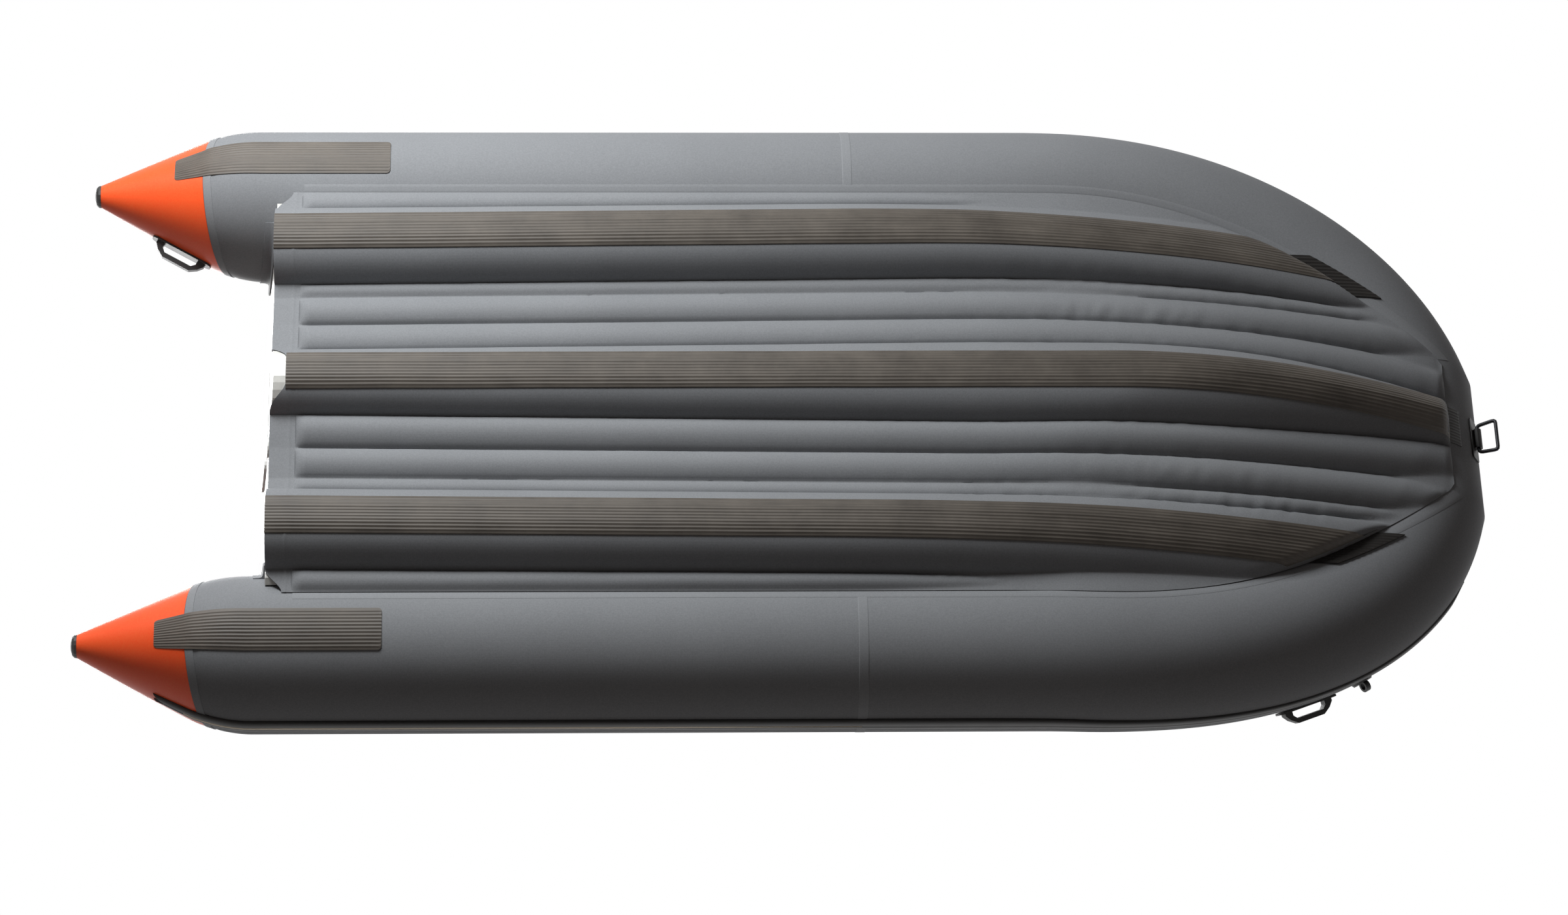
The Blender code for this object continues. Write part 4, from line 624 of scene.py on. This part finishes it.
def moved(y, fromPlaces, toPlaces):
    reach = abs(y)
    for i in range(len(fromPlaces) - 1):
        if reach <= fromPlaces[i + 1]:
            share = (reach - fromPlaces[i]) / (fromPlaces[i + 1] - fromPlaces[i])
            return math.copysign(mixed(toPlaces[i], toPlaces[i + 1], share), y)
    return y


def arcHeight(offset, half, depth):
    radius = (half ** 2 + depth ** 2) / (2 * depth)
    return radius - math.sqrt(max(0.0, radius ** 2 - offset ** 2))


def keelHeight(offset, half, depth):
    flat = arcHeight(floorShape["keelFlat"] / 2, half, depth)
    raised = arcHeight(max(abs(offset), floorShape["keelFlat"] / 2), half, depth)
    return (raised - flat) * depth / (depth - flat)


def ribHeight(y, inner, outer, sag):
    share = (y - inner[0]) / (outer[0] - inner[0])
    return mixed(inner[1], outer[1], share) - sag * 4 * share * (1 - share)


def sectionHeight(y, ribShare):
    y = abs(y)
    if y <= seams[0][0]:
        return keelHeight(y, seams[0][0], seams[0][1])
    if y <= seams[1][0]:
        return ribHeight(y, seams[0], seams[1], floorShape["ribSag"] * ribShare)
    if y <= seams[2][0]:
        return ribHeight(y, seams[1], seams[2], floorShape["ribSag"] * ribShare)
    if y <= seams[3][0]:
        return ribHeight(y, seams[2], seams[3], floorShape["sideRibSag"] * ribShare)
    if y <= seams[4][0]:
        return keelHeight(y - sideMiddle, sideHalf, seams[3][1])
    if y >= lapY:
        return lapHeight
    return ribHeight(y, seams[4], (lapY, lapHeight), floorShape["outerRibSag"] * ribShare)


def risenBy(share):
    tops = floorShape["tops"]
    for (a, low), (b, high) in zip(tops, tops[1:]):
        if share <= b:
            return mixed(low, high, (share - a) / (b - a))
    return tops[-1][1]


def underside(station, y, ribShare):
    # height of the floor's bottom; y is the place it has amidships, before the seams are drawn in
    share = min(1.3, abs(y) / sideMiddle)
    start = mixed(floorShape["centreStart"], floorShape["sideStart"], share)
    end = mixed(noseEdge, floorShape["sideEnd"], share)
    power = mixed(floorShape["centrePower"], floorShape["sidePower"], share)
    way = min(1.15, max(0.0, (station - start) / (end - start)))
    fade = 1 - floorShape["fade"] * min(1.0, way) ** 2
    fuller = (1 + floorShape["fuller"] * min(1.0, way) ** 2) / fade
    return hull["floorLift"] + risenBy(share) * way ** power + sectionHeight(y, ribShare * fuller) * fade


def lapAngleAt(way):
    return mixed(hull["lapAngle"], hull["noseLapAngle"], max(0.0, way) ** hull["lapPower"])


def lapTable():
    # lap points of the port side, by x: the floor's edge on the tube, and its deck's
    table = []
    for i in range(13):
        ring = straightRing(mixed(floorShape["aft"], hull["curveStart"] - 0.02, i / 12))
        table.append((ring, hull["lapAngle"]))
    for i in range(97):
        table.append((bowRing(i / 96, 0.0), lapAngleAt(i / 96)))
    return [(ring.at(angle, hull["lapLift"]), ring.at(floorShape["deckAngle"], 0.0004)) for ring, angle in table]


lapRows = lapTable()


def lapAt(x, pick=0):
    # edge of the floor (pick 0) or of its deck (pick 1) at a place along the boat
    if x <= lapRows[0][pick].x:
        return Vector((x, lapRows[0][pick].y, lapRows[0][pick].z))
    for near, far in zip(lapRows, lapRows[1:]):
        if x <= far[pick].x:
            share = (x - near[pick].x) / max(1e-9, far[pick].x - near[pick].x)
            return near[pick].lerp(far[pick], share)
    return lapRows[-1][pick].copy()


def lapWhere(y):
    # how far forward the floor's edge is, at a distance from the middle
    for near, far in zip(lapRows[13:], lapRows[14:]):
        if far[0].y <= abs(y):
            share = (near[0].y - abs(y)) / max(1e-9, near[0].y - far[0].y)
            return mixed(near[0].x, far[0].x, min(1.0, max(0.0, share)))
    return lapRows[-1][0].x


bowLine = [(ring.centre.x, ring.centre.y, ring.centre.z) for ring in portBow]


def tubeUnder(x, y):
    # height of the bow tube's lower face over a place, or None clear of the tube
    found = None
    radius = hull["radius"] - hull["bowSkinInset"]
    for (x0, y0, z0), (x1, y1, z1) in zip(bowLine, bowLine[1:]):
        if abs(x - x0) > 0.26 and x0 < 1.5:
            continue
        dx, dy = x1 - x0, y1 - y0
        share = min(1.0, max(0.0, ((x - x0) * dx + (abs(y) - y0) * dy) / (dx * dx + dy * dy)))
        off = math.hypot(x - x0 - dx * share, abs(y) - y0 - dy * share)
        if off < radius:
            height = mixed(z0, z1, share) - math.sqrt(radius ** 2 - off ** 2)
            found = height if found is None else min(found, height)
    return found


def roundedEnd(distance, width):
    # 1 at an edge, 0 a width away from it, along a quarter circle
    inside = min(1.0, max(0.0, 1 - distance / width))
    return 1 - math.sqrt(1 - inside * inside)


def puckers(x, y, places):
    # small gathers in the cloth along each seam, stronger where the bow lifts
    reach = abs(y)
    nearest = min(abs(reach - at) for at in places[1:6])
    bow = 0.30 + 0.70 * eased((x + 0.1) / 1.1)
    row = round(reach * 11) * 3.1
    side = 4.0 if y > 0 else 9.0
    gather = ripple(x * 30, row, side) * math.exp(-(nearest / 0.014) ** 2)
    broad = ripple(x * 5, y * 9, 2.0)
    return 0.0024 * bow * gather + 0.0010 * broad


# slack cloth beside the port keel and on one starboard rib: middle, width, start, end and height of its folds
slackCloth = ((0.335, 0.030, 0.30, 1.50, 0.0042), (0.250, 0.020, 0.60, 1.30, 0.0022),
              (-0.225, 0.026, 0.60, 1.15, 0.0030), (0.560, 0.022, 0.20, 0.90, 0.0018),
              (-0.335, 0.020, 0.40, 1.20, 0.0016))


def crossCreases(x, y):
    lift = 0.0
    for middle, width, start, end, size in slackCloth:
        if start < x < end:
            share = (y - middle) / width
            fold = ripple(x * 46 + y * 14, y * 5, middle * 7) + 0.4 * ripple(x * 90, y * 16, 1.0)
            lift += size * fold * math.exp(-share * share) * eased((x - start) / 0.15) * eased((end - x) / 0.15)
    return lift


def floorBottom(x, y, edge, places):
    # point on the underside of the floor, at its true distance from the middle
    side = math.copysign(1, y)
    reach = min(abs(y), edge.y)
    station = x + originX
    share = min(1.0, max(0.0, station - floorShape["aft"]) / floorShape["runout"]) ** 0.5
    z = underside(station, moved(reach, places, seamPlaces), share)
    slack = eased((edge.y - reach) / 0.03)
    z += (puckers(x, y, places) + crossCreases(x, y)) * slack
    nearest = min(abs(reach - at) for at in places[1:6])
    z += floorShape["seamNip"] * math.exp(-(nearest / floorShape["seamWidth"]) ** 2) * share * slack
    z = mixed(min(z, edge.z - 0.0004), edge.z, roundedEnd(edge.y - reach, floorShape["edgeRound"]))
    z = mixed(z, lapRows[-1][0].z, roundedEnd(lapRows[-1][0].x - x, floorShape["noseRound"]))
    if x > 0.5:
        cover = tubeUnder(x, reach)
        if cover is not None:
            z = min(z, cover - floorShape["tubeGap"])
    return Vector((x, side * reach, z))


def columnsAcross():
    # distances to port, falling to those of starboard, close together at the seams
    places = [0.0]
    for inner, outer in zip(seamPlaces[:-1], seamPlaces[1:-1]):
        count = max(5, round((outer - inner) / 0.0065))
        for i in range(1, count + 1):
            t = i / count
            places.append(mixed(inner, outer, t - 0.085 * math.sin(math.tau * t)))
    return places[::-1] + [-y for y in places[1:]]


def deckPoint(x, y, edge):
    reach = abs(y)
    crown = 0.0
    for inner, outer in zip(seamPlaces, seamPlaces[1:6]):
        if reach <= outer:
            share = (reach - inner) / (outer - inner)
            crown = floorShape["deckSag"] * 4 * share * (1 - share)
            break
    side = math.copysign(1, y)
    reach = min(reach, edge.y)
    fade = eased((edge.y - reach) / 0.03) * (1 - eased((x - 1.40) / 0.08))
    wave = 0.0008 * ripple(x * 9, y * 9, 7.0)
    return Vector((x, side * reach, edge.z + (crown + wave) * fade))


def floorSkin():
    columns = columnsAcross()
    startX, endX = xOf(floorShape["aft"]), lapRows[-1][0].x
    ends, count = 0.036, floorShape["rows"]
    places = [startX + 0.003 * i for i in range(12)]
    places += [mixed(startX + ends, endX - ends, i / count) for i in range(count + 1)]
    places += [endX - ends * (1 - i / 14) ** 1.6 for i in range(1, 15)]
    under, deck, uvs = [], [], []
    for x in places:
        edge, drawn = lapAt(x), seamsAt(x)
        under.append([floorBottom(x, moved(y, seamPlaces, drawn), edge, drawn) for y in columns])
        deckX = mixed(xOf(floorShape["deckAft"]), lapRows[-1][1].x, (x - startX) / (endX - startX))
        deckEdge = lapAt(deckX, 1)
        deck.append([deckPoint(deckX, y, deckEdge) for y in columns])
        uvs.append([(x, y) for y in columns])
    mesh, uvLayer = newCloth()
    a = gridInto(mesh, uvLayer, under, uvs)
    b = gridInto(mesh, uvLayer, deck, uvs, flip=True)
    # side walls and ends; they lie against the tubes and inside the laps
    for j in range(len(places) - 1):
        for k in (0, -1):
            mesh.faces.new((a[j][k], a[j + 1][k], b[j + 1][k], b[j][k]))
    for row in (0, -1):
        for k in range(len(columns) - 1):
            corners = []
            for vert in (a[row][k], a[row][k + 1], b[row][k + 1], b[row][k]):
                if all((vert.co - other.co).length > leastEdge for other in corners):
                    corners.append(vert)
            if len(corners) > 2:
                mesh.faces.new(corners)
    skin = makeObject("air_floor_skin", mesh, finishes["greyCloth"])
    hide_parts("air_floor")
    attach(skin, "hull")


floorSkin()
print("air floor made")


# the flap under the transom

flap = {"start": 0.490, "notch": 0.042, "cornerStep": 0.062, "thickness": 0.0035, "foldAt": 0.541}


def flapStart(y):
    reach = abs(y)
    if reach < floorShape["keelFlat"]:
        return flap["start"] + flap["notch"]
    if reach < seams[0][0]:
        share = (reach - floorShape["keelFlat"]) / (seams[0][0] - floorShape["keelFlat"])
        return flap["start"] + flap["notch"] * (1 - eased(share))
    if reach > seams[4][0]:
        return flap["start"] + flap["notch"] * eased((reach - seams[4][0]) / flap["cornerStep"])
    return flap["start"]


def sternFlap():
    columns = columnsAcross()
    rows = []
    for i in range(31):
        row = []
        for y in columns:
            station = mixed(flapStart(y), floorShape["aft"] + 0.004, i / 30)
            x, z = xOf(station), underside(station, y, 0)
            fold = 0.0010 * math.exp(-((station - flap["foldAt"]) / 0.0035) ** 2)
            droop = 0.0007 * ripple(station * 12, y * 8, 5.0)
            row.append((Vector((x, y, z - fold + droop)), Vector((x, y, z + flap["thickness"])), (station, y)))
        rows.append(row)
    made = thinShell("stern_flap", rows, finishes["greyCloth"])
    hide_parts("stern_skirt")
    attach(made, "hull")


sternFlap()


# ribbed strips under the keels and on the tubes

strip = {"width": 0.108, "thickness": 0.003, "ridges": 12, "ridgeHeight": 0.0013, "gap": 0.0004, "step": 0.012}
stripColumns = strip["ridges"] * 6
stripBody = strip["thickness"] - strip["ridgeHeight"]


def ridgeLift(share):
    # height of the strip's ridges over its width, with a flat selvedge at both edges
    wave = 0.5 + 0.5 * math.cos(math.tau * strip["ridges"] * (share - 0.5))
    edge = min(share, 1 - share) * strip["width"]
    return strip["ridgeHeight"] * wave ** 1.6 * eased((edge - 0.002) / 0.003)


def keelStrip(name, node, middle, start, endX):
    # a strip hugging one keel, cut off by the floor's edge where the bow narrows
    startX = xOf(start)
    count = max(2, round((endX - startX) / strip["step"]))
    rows = []
    for i in range(count + 1):
        x = mixed(startX, endX, i / count)
        edge, places = lapAt(x), seamsAt(x)
        drawn = moved(middle, seamPlaces, places)
        row = []
        for k in range(stripColumns + 1):
            share = k / stripColumns
            y = held = drawn + strip["width"] * (share - 0.5)
            if x < xOf(floorShape["aft"]):
                base = Vector((x, y, underside(x + originX, y, 0)))
            else:
                held = math.copysign(min(abs(y), edge.y - 0.003), y)
                base = floorBottom(x, held, edge, places)
            drop = strip["gap"] + stripBody + (ridgeLift(share) if held == y else 0.0)
            row.append((base - Vector((0, 0, drop)), base - Vector((0, 0, strip["gap"] * 0.5)), (x, y)))
        rows.append(row)
    made = thinShell(name, rows, finishes["ribbedRubber"], smoothAngle=70)
    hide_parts(node)
    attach(made, "hull")


keelStrip("keel_strip_centre_ribbed", "keel_strip_centre", 0.0, flap["start"] + flap["notch"],
          lapRows[-1][0].x - 0.002)
sideStripEnd = lapWhere(sideMiddle - 0.014 - strip["width"] / 2) - 0.004
for sideName, side in bothSides:
    keelStrip(f"keel_strip_{sideName}_ribbed", f"keel_strip_{sideName}", side * sideMiddle, flap["start"],
              sideStripEnd)

skid = {"start": 0.215, "end": 0.785, "fromAngle": -25.0, "toAngle": 7.0, "corner": 0.010, "glue": 0.0008,
        "overTape": 0.0009}


def skidRings():
    ends = [skid["corner"] * share for share in (0.0, 0.1, 0.3, 0.6, 1.0)]
    stations = [skid["start"] + e for e in ends]
    stations += [mixed(skid["start"] + 0.02, skid["end"] - 0.02, i / 40) for i in range(41)]
    stations += [skid["end"] - e for e in reversed(ends)]
    return [straightRing(s) for s in stations]


def skidStrip(sideName, side):
    # a ribbed strip laid on the tube, with rounded corners; the tape of the cone joint lifts it by a low step
    rows = []
    for ring in skidRings():
        nearEnd = min(ring.along - skid["start"], skid["end"] - ring.along)
        tuck = 0.0
        if nearEnd < skid["corner"]:
            tuck = (skid["corner"] - math.sqrt(skid["corner"] ** 2 - (skid["corner"] - nearEnd) ** 2)) / strip["width"]
        onTape = math.exp(-((ring.along - tubeLook["joint"] + 0.018) / 0.014) ** 4) * skid["overTape"]
        row = []
        for k in range(stripColumns + 1):
            share = mixed(tuck, 1 - tuck, k / stripColumns)
            angle = mixed(skid["fromAngle"], skid["toAngle"], share)
            rise = skid["glue"] + onTape + stripBody + ridgeLift(share)
            row.append((ring.at(angle, rise), ring.at(angle, -0.001), (ring.along, strip["width"] * share)))
        rows.append(row)
    made = thinShell(f"skid_strip_{sideName}_ribbed", rows, finishes["ribbedRubber"], side, 70)
    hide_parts(f"skid_strip_{sideName}")
    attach(made, "hull")


bowPatch = {"sideMiddle": sideMiddle - 0.010, "sideReach": 0.075, "noseReach": 0.036, "tuck": 0.004,
            "lift": 0.0022, "steps": 12}


def patchOnTube(name, node, middle, reach):
    # the last piece of a keel's strip, glued on the bow tube beyond the floor's edge; its rubber is coloured much
    # darker than the strips': partly a darker patch, partly painted shade of the bow
    rows = []
    for k in range(stripColumns + 1):
        share = k / stripColumns
        y = middle + strip["width"] * (share - 0.5)
        start = lapWhere(y) - bowPatch["tuck"]
        rise = bowPatch["lift"] + ridgeLift(share) * 0.8
        row = []
        for i in range(bowPatch["steps"] + 1):
            x = start + (reach + bowPatch["tuck"]) * i / bowPatch["steps"]
            height = tubeUnder(x, y)
            if height is None:
                height = lapRows[-1][0].z
            row.append((Vector((x, y, height - rise)), Vector((x, y, height + 0.002)), (x, y)))
        rows.append(row)
    made = thinShell(name, rows, finishes["bowShadeRubber"], smoothAngle=70)
    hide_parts(node)
    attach(made, "hull")


for sideName, side in bothSides:
    skidStrip(sideName, side)
    patchOnTube(f"bow_patch_{sideName}_ribbed", f"bow_patch_{sideName}", side * bowPatch["sideMiddle"],
                bowPatch["sideReach"])
patchOnTube("bow_patch_centre_ribbed", "bow_patch_centre", 0.0, bowPatch["noseReach"])


# tapes along the laps and round the nose

lapBand = {"start": 0.56, "inner": 6.4, "noseInner": 12.5, "outer": 0.6, "lift": 0.0012, "edge": 0.0004, "columns": 6}


def lapTape(sideName, side):
    # a bonded tape over the floor's edge, its own edges sunk into the skin
    sections = []
    for i in range(61):
        ring = straightRing(mixed(lapBand["start"], hull["curveStart"] - 0.02, i / 60))
        sections.append((ring, hull["lapAngle"] - lapBand["inner"], hull["lapAngle"] + lapBand["outer"]))
    for i in range(73):
        way = i / 72 * 0.995
        ring, lap = bowRing(way, hull["curveStart"] + 1.25 * way), lapAngleAt(way)
        inner = mixed(lapBand["inner"], lapBand["noseInner"], way ** 4)
        sections.append((ring, lap - inner, lap + lapBand["outer"]))
    rows = []
    for ring, start, end in sections:
        row = []
        for k in range(lapBand["columns"] + 1):
            angle = mixed(start, end, k / lapBand["columns"])
            rise = lapBand["edge"] if k in (0, lapBand["columns"]) else lapBand["lift"]
            spot = (ring.along, math.radians(angle) * ring.radius)
            row.append((ring.at(angle, rise), ring.at(angle, tapeSole), spot))
        rows.append(row)
    made = thinShell(f"lap_tape_{sideName}", rows, finishes["seamTape"], side)
    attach(made, "hull")


for sideName, side in bothSides:
    lapTape(sideName, side)
print("strips and tapes made")


# the fabric channels that hold the transom

holder = {"fromAngle": 45.0, "toAngle": 135.0, "boardHalf": 0.0169, "wall": 0.0040, "foot": 0.025, "lip": 0.036,
          "station": 0.492, "boardThickness": 0.033, "rake": math.tan(math.radians(6.0))}


def holderSection():
    # half of the channel's section: across the board, and up from the tube
    inside, outside = holder["boardHalf"], holder["boardHalf"] + holder["wall"]
    foot = outside + holder["foot"]
    return [(foot, 0.0002), (foot - 0.0008, 0.0020), (outside + 0.011, 0.0026), (outside + 0.004, 0.0044),
            (outside + 0.0008, 0.0090), (outside, 0.016), (outside, holder["lip"] - 0.0030),
            (outside - 0.0008, holder["lip"] - 0.0006), (mixed(inside, outside, 0.5), holder["lip"]),
            (inside + 0.0008, holder["lip"] - 0.0006), (inside, holder["lip"] - 0.0030), (inside, 0.0044)]


def transomHolder(sideName, side):
    half = holderSection()
    shape = half + [(-x, rise) for x, rise in reversed(half)]
    ring = straightRing(floorShape["aft"])
    middle = xOf(holder["station"]) + holder["boardThickness"] / 2
    rows, uvs = [], []
    for i in range(49):
        angle = mixed(holder["fromAngle"], holder["toAngle"], i / 48)
        row = []
        for x, rise in shape:
            point = ring.at(angle, rise)
            row.append(Vector((middle + x - (point.z - floorShape["depth"]) * holder["rake"], point.y, point.z)))
        rows.append(sided(row, side))
        uvs.append([(math.radians(angle) * hull["radius"], 0.004 * k) for k in range(len(shape))])
    channel = closedTube(f"transom_channel_{sideName}", rows, uvs, finishes["greyCloth"], 60)
    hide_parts(f"transom_holder_{sideName}")
    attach(channel, "hull")


for sideName, side in bothSides:
    transomHolder(sideName, side)
print("transom channels made")


# rub strakes with their pale insert

strake = {"half": 6.0, "crown": 0.0108, "start": 0.205, "notch": 0.030, "base": 0.0004, "bowShare": 0.55,
          "bowTurn": 5.0, "insertHalf": 1.05, "insertDip": 0.0015, "insertShadeFrom": 1.37, "insertEnd": 1.99,
          "insertEndShare": 0.35, "uvScale": 0.0035}     # the last: metres of arc to a degree


def strakeRings():
    stations = [mixed(strake["start"] + strake["notch"], hull["chamber"], i / 70) for i in range(71)]
    rings = [straightRing(s) for s in stations]
    rings += [ring for ring in portBow if ring.along > hull["chamber"] + 0.02 and (ring.bowWay or 0) <= 7 / 8]
    return rings


def strakeProfile():
    # angles from the crown and heights over the tube: a rounded bar with a shallow channel for its insert
    points = []
    for k in range(21):
        share = 2 * k / 20 - 1
        offset = strake["half"] * math.copysign(abs(share) ** 0.9, share)
        bulge = max(0.0, 1 - abs(share) ** 3.2) ** 0.5
        rise = strake["crown"] * bulge
        if abs(offset) < strake["insertHalf"] * 1.25:
            rise -= strake["insertDip"] * eased(1.5 - abs(offset) / strake["insertHalf"])
        points.append((offset, rise))
    return points


def bowShrink(ring):
    # the bar is stretched thin and turns up a little as it rounds the bow
    way = eased((ring.along - hull["sheerStart"] + 0.2) / 1.1)
    end = 1 - 0.85 * eased(((ring.bowWay or 0) - 0.80) / 0.075)
    return mixed(1.0, strake["bowShare"], way) * end, strake["bowTurn"] * way


def rubStrake(sideName, side):
    rings = strakeRings()
    profile = strakeProfile()
    rows = []
    for j, ring in enumerate(rings):
        row = []
        share, turn = bowShrink(ring)
        for offset, rise in profile:
            angle = -90 - turn + offset * share
            top, sole = ring.at(angle, strake["base"] + rise * share), ring.at(angle, -0.001)
            if j == 0:
                slope = (rings[1].at(angle, rise) - ring.at(angle, rise)).normalized()
                back = slope * (strake["notch"] * abs(offset) / strake["half"])
                top, sole = top - back, sole - back
            row.append((top, sole, (ring.along, offset * strake["uvScale"])))
        rows.append(row)
    bar = thinShell(f"rub_strake_{sideName}_bar", rows, finishes["blackRubber"], side, 50)
    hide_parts(f"rub_strake_{sideName}")
    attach(bar, "hull")
    rows = []
    for ring in rings[2:]:
        if ring.along >= strake["insertEnd"]:
            continue
        row = []
        # from station 1.37 the insert narrows and sinks, and it stops at the chamber seam, so the bar shows black
        # along the bow where the tube's lower side lies in shade: painted shade
        shadeTaper = eased((ring.along - strake["insertShadeFrom"]) / (strake["insertEnd"] - strake["insertShadeFrom"]))
        half = strake["insertHalf"] * mixed(1.0, strake["insertEndShare"], shadeTaper)
        rise = strake["base"] + strake["crown"] - strake["insertDip"] * mixed(0.35, 0.8, shadeTaper)
        for k in range(7):
            offset = half * (k / 3 - 1)
            top = ring.at(-90 + offset, rise + 0.0012 * math.cos(offset / half * 1.3))
            row.append((top, ring.at(-90 + offset, strake["crown"] * 0.5), (ring.along, offset * strake["uvScale"])))
        rows.append(row)
    insert = thinShell(f"strake_insert_{sideName}", rows, finishes["creamStripe"], side, 50)
    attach(insert, "hull")


for sideName, side in bothSides:
    rubStrake(sideName, side)
print("strakes made")


# camera, lights and floor

view = {"place": (-0.6115, 6.7424, -10.8129), "tilt": 0.5338, "yaw": 0.0381, "roll": -0.0021,
        "lens": 114.37, "shiftX": 0.0197, "shiftY": 0.0175}
keyLight = {"place": (-1.85, -2.2, -2.8), "aim": (0.0, 0.0, 0.1), "size": 1.6, "power": 225.0,
            "colour": (0.97, 0.99, 1.0)}
topLight = {"place": (-2.6, -3.4, 5.6), "aim": (0.0, 0.0, 0.3), "size": 4.0, "power": 420.0, "colour": (1.0, 1.0, 1.0)}
sideLight = {"place": (1.5, 5.0, 4.5), "aim": (0.0, 0.0, 0.3), "size": 4.0, "power": 25.0, "colour": (1.0, 0.98, 0.96)}


def photoCamera():
    data = bpy.data.cameras.new("photo_camera")
    data.lens, data.sensor_width, data.sensor_fit = view["lens"], 36.0, "HORIZONTAL"
    data.shift_x, data.shift_y = view["shiftX"], view["shiftY"]
    data.clip_start, data.clip_end = 0.1, 100.0
    camera = bpy.data.objects.new("photo_camera", data)
    bpy.context.collection.objects.link(camera)
    sinT, cosT = math.sin(view["tilt"]), math.cos(view["tilt"])
    level, depth = Vector((1, 0, 0)), Vector((0, -sinT, cosT))
    sinY, cosY = math.sin(view["yaw"]), math.cos(view["yaw"])
    right = level * cosY - depth * sinY
    ahead = level * sinY + depth * cosY
    turn = Matrix((right, right.cross(ahead), -ahead)).transposed()
    turn = turn @ Matrix.Rotation(view["roll"], 3, "Z")
    camera.matrix_world = Matrix.Translation(view["place"]) @ turn.to_4x4()
    bpy.context.scene.camera = camera


def softLamp(name, look):
    data = bpy.data.lights.new(name, "AREA")
    data.shape, data.size, data.energy, data.color = "SQUARE", look["size"], look["power"], look["colour"]
    lamp = bpy.data.objects.new(name, data)
    bpy.context.collection.objects.link(lamp)
    way = Vector(look["aim"]) - Vector(look["place"])
    lamp.matrix_world = Matrix.Translation(look["place"]) @ way.to_track_quat("-Z", "Y").to_matrix().to_4x4()


def paleFloor():
    # a plain matt sheet that shows only from above, since the photograph looks up from under the boat
    bpy.ops.mesh.primitive_plane_add(size=60, location=(0, 0, -0.0006))     # clear of the strips' undersides
    sheet = bpy.context.object
    sheet.name = "floor"
    made, tree, shader = newMaterial("plain_pale_floor")
    shader.inputs["Base Color"].default_value = srgb("F2F2F0")
    shader.inputs["Roughness"].default_value = 0.9
    clear = addNode(tree, "ShaderNodeBsdfTransparent")
    path = addNode(tree, "ShaderNodeLightPath")
    side = addNode(tree, "ShaderNodeNewGeometry")
    seen = addNode(tree, "ShaderNodeMath", {"operation": "MAXIMUM"},
                   links={0: path.outputs["Is Camera Ray"], 1: path.outputs["Is Glossy Ray"]})
    hidden = addNode(tree, "ShaderNodeMath", {"operation": "SUBTRACT", "use_clamp": True},
                     links={0: seen.outputs["Value"], 1: side.outputs["Backfacing"]})
    both = addNode(tree, "ShaderNodeMixShader", links={0: hidden.outputs["Value"], 1: clear.outputs["BSDF"],
                                                     2: shader.outputs["BSDF"]})
    tree.links.new(both.outputs["Shader"], tree.nodes["Material Output"].inputs["Surface"])
    sheet.data.materials.append(made)


def plainWorld():
    world = bpy.data.worlds.new("plain_light")
    bpy.context.scene.world = world
    world.use_nodes = True
    tree = world.node_tree
    back = tree.nodes["Background"]
    back.inputs["Color"].default_value = (1.0, 0.90, 0.85, 1.0)
    back.inputs["Strength"].default_value = 0.09
    white = addNode(tree, "ShaderNodeBackground", inputs={"Color": (1, 1, 1, 1), "Strength": 1.0})
    path = addNode(tree, "ShaderNodeLightPath")
    glossy = addNode(tree, "ShaderNodeMath", {"operation": "MAXIMUM"},
                     links={0: path.outputs["Is Glossy Ray"], 1: path.outputs["Is Transmission Ray"]})
    seen = addNode(tree, "ShaderNodeMath", {"operation": "MAXIMUM"},
                   links={0: path.outputs["Is Camera Ray"], 1: glossy.outputs["Value"]})
    both = addNode(tree, "ShaderNodeMixShader", links={0: seen.outputs["Value"], 1: back.outputs["Background"],
                                                     2: white.outputs["Background"]})
    tree.links.new(both.outputs["Shader"], tree.nodes["World Output"].inputs["Surface"])


photoCamera()
softLamp("key_light", keyLight)
softLamp("top_light", topLight)
softLamp("side_light", sideLight)
paleFloor()
plainWorld()
bpy.context.scene.view_settings.view_transform = "Standard"
print("stage set")
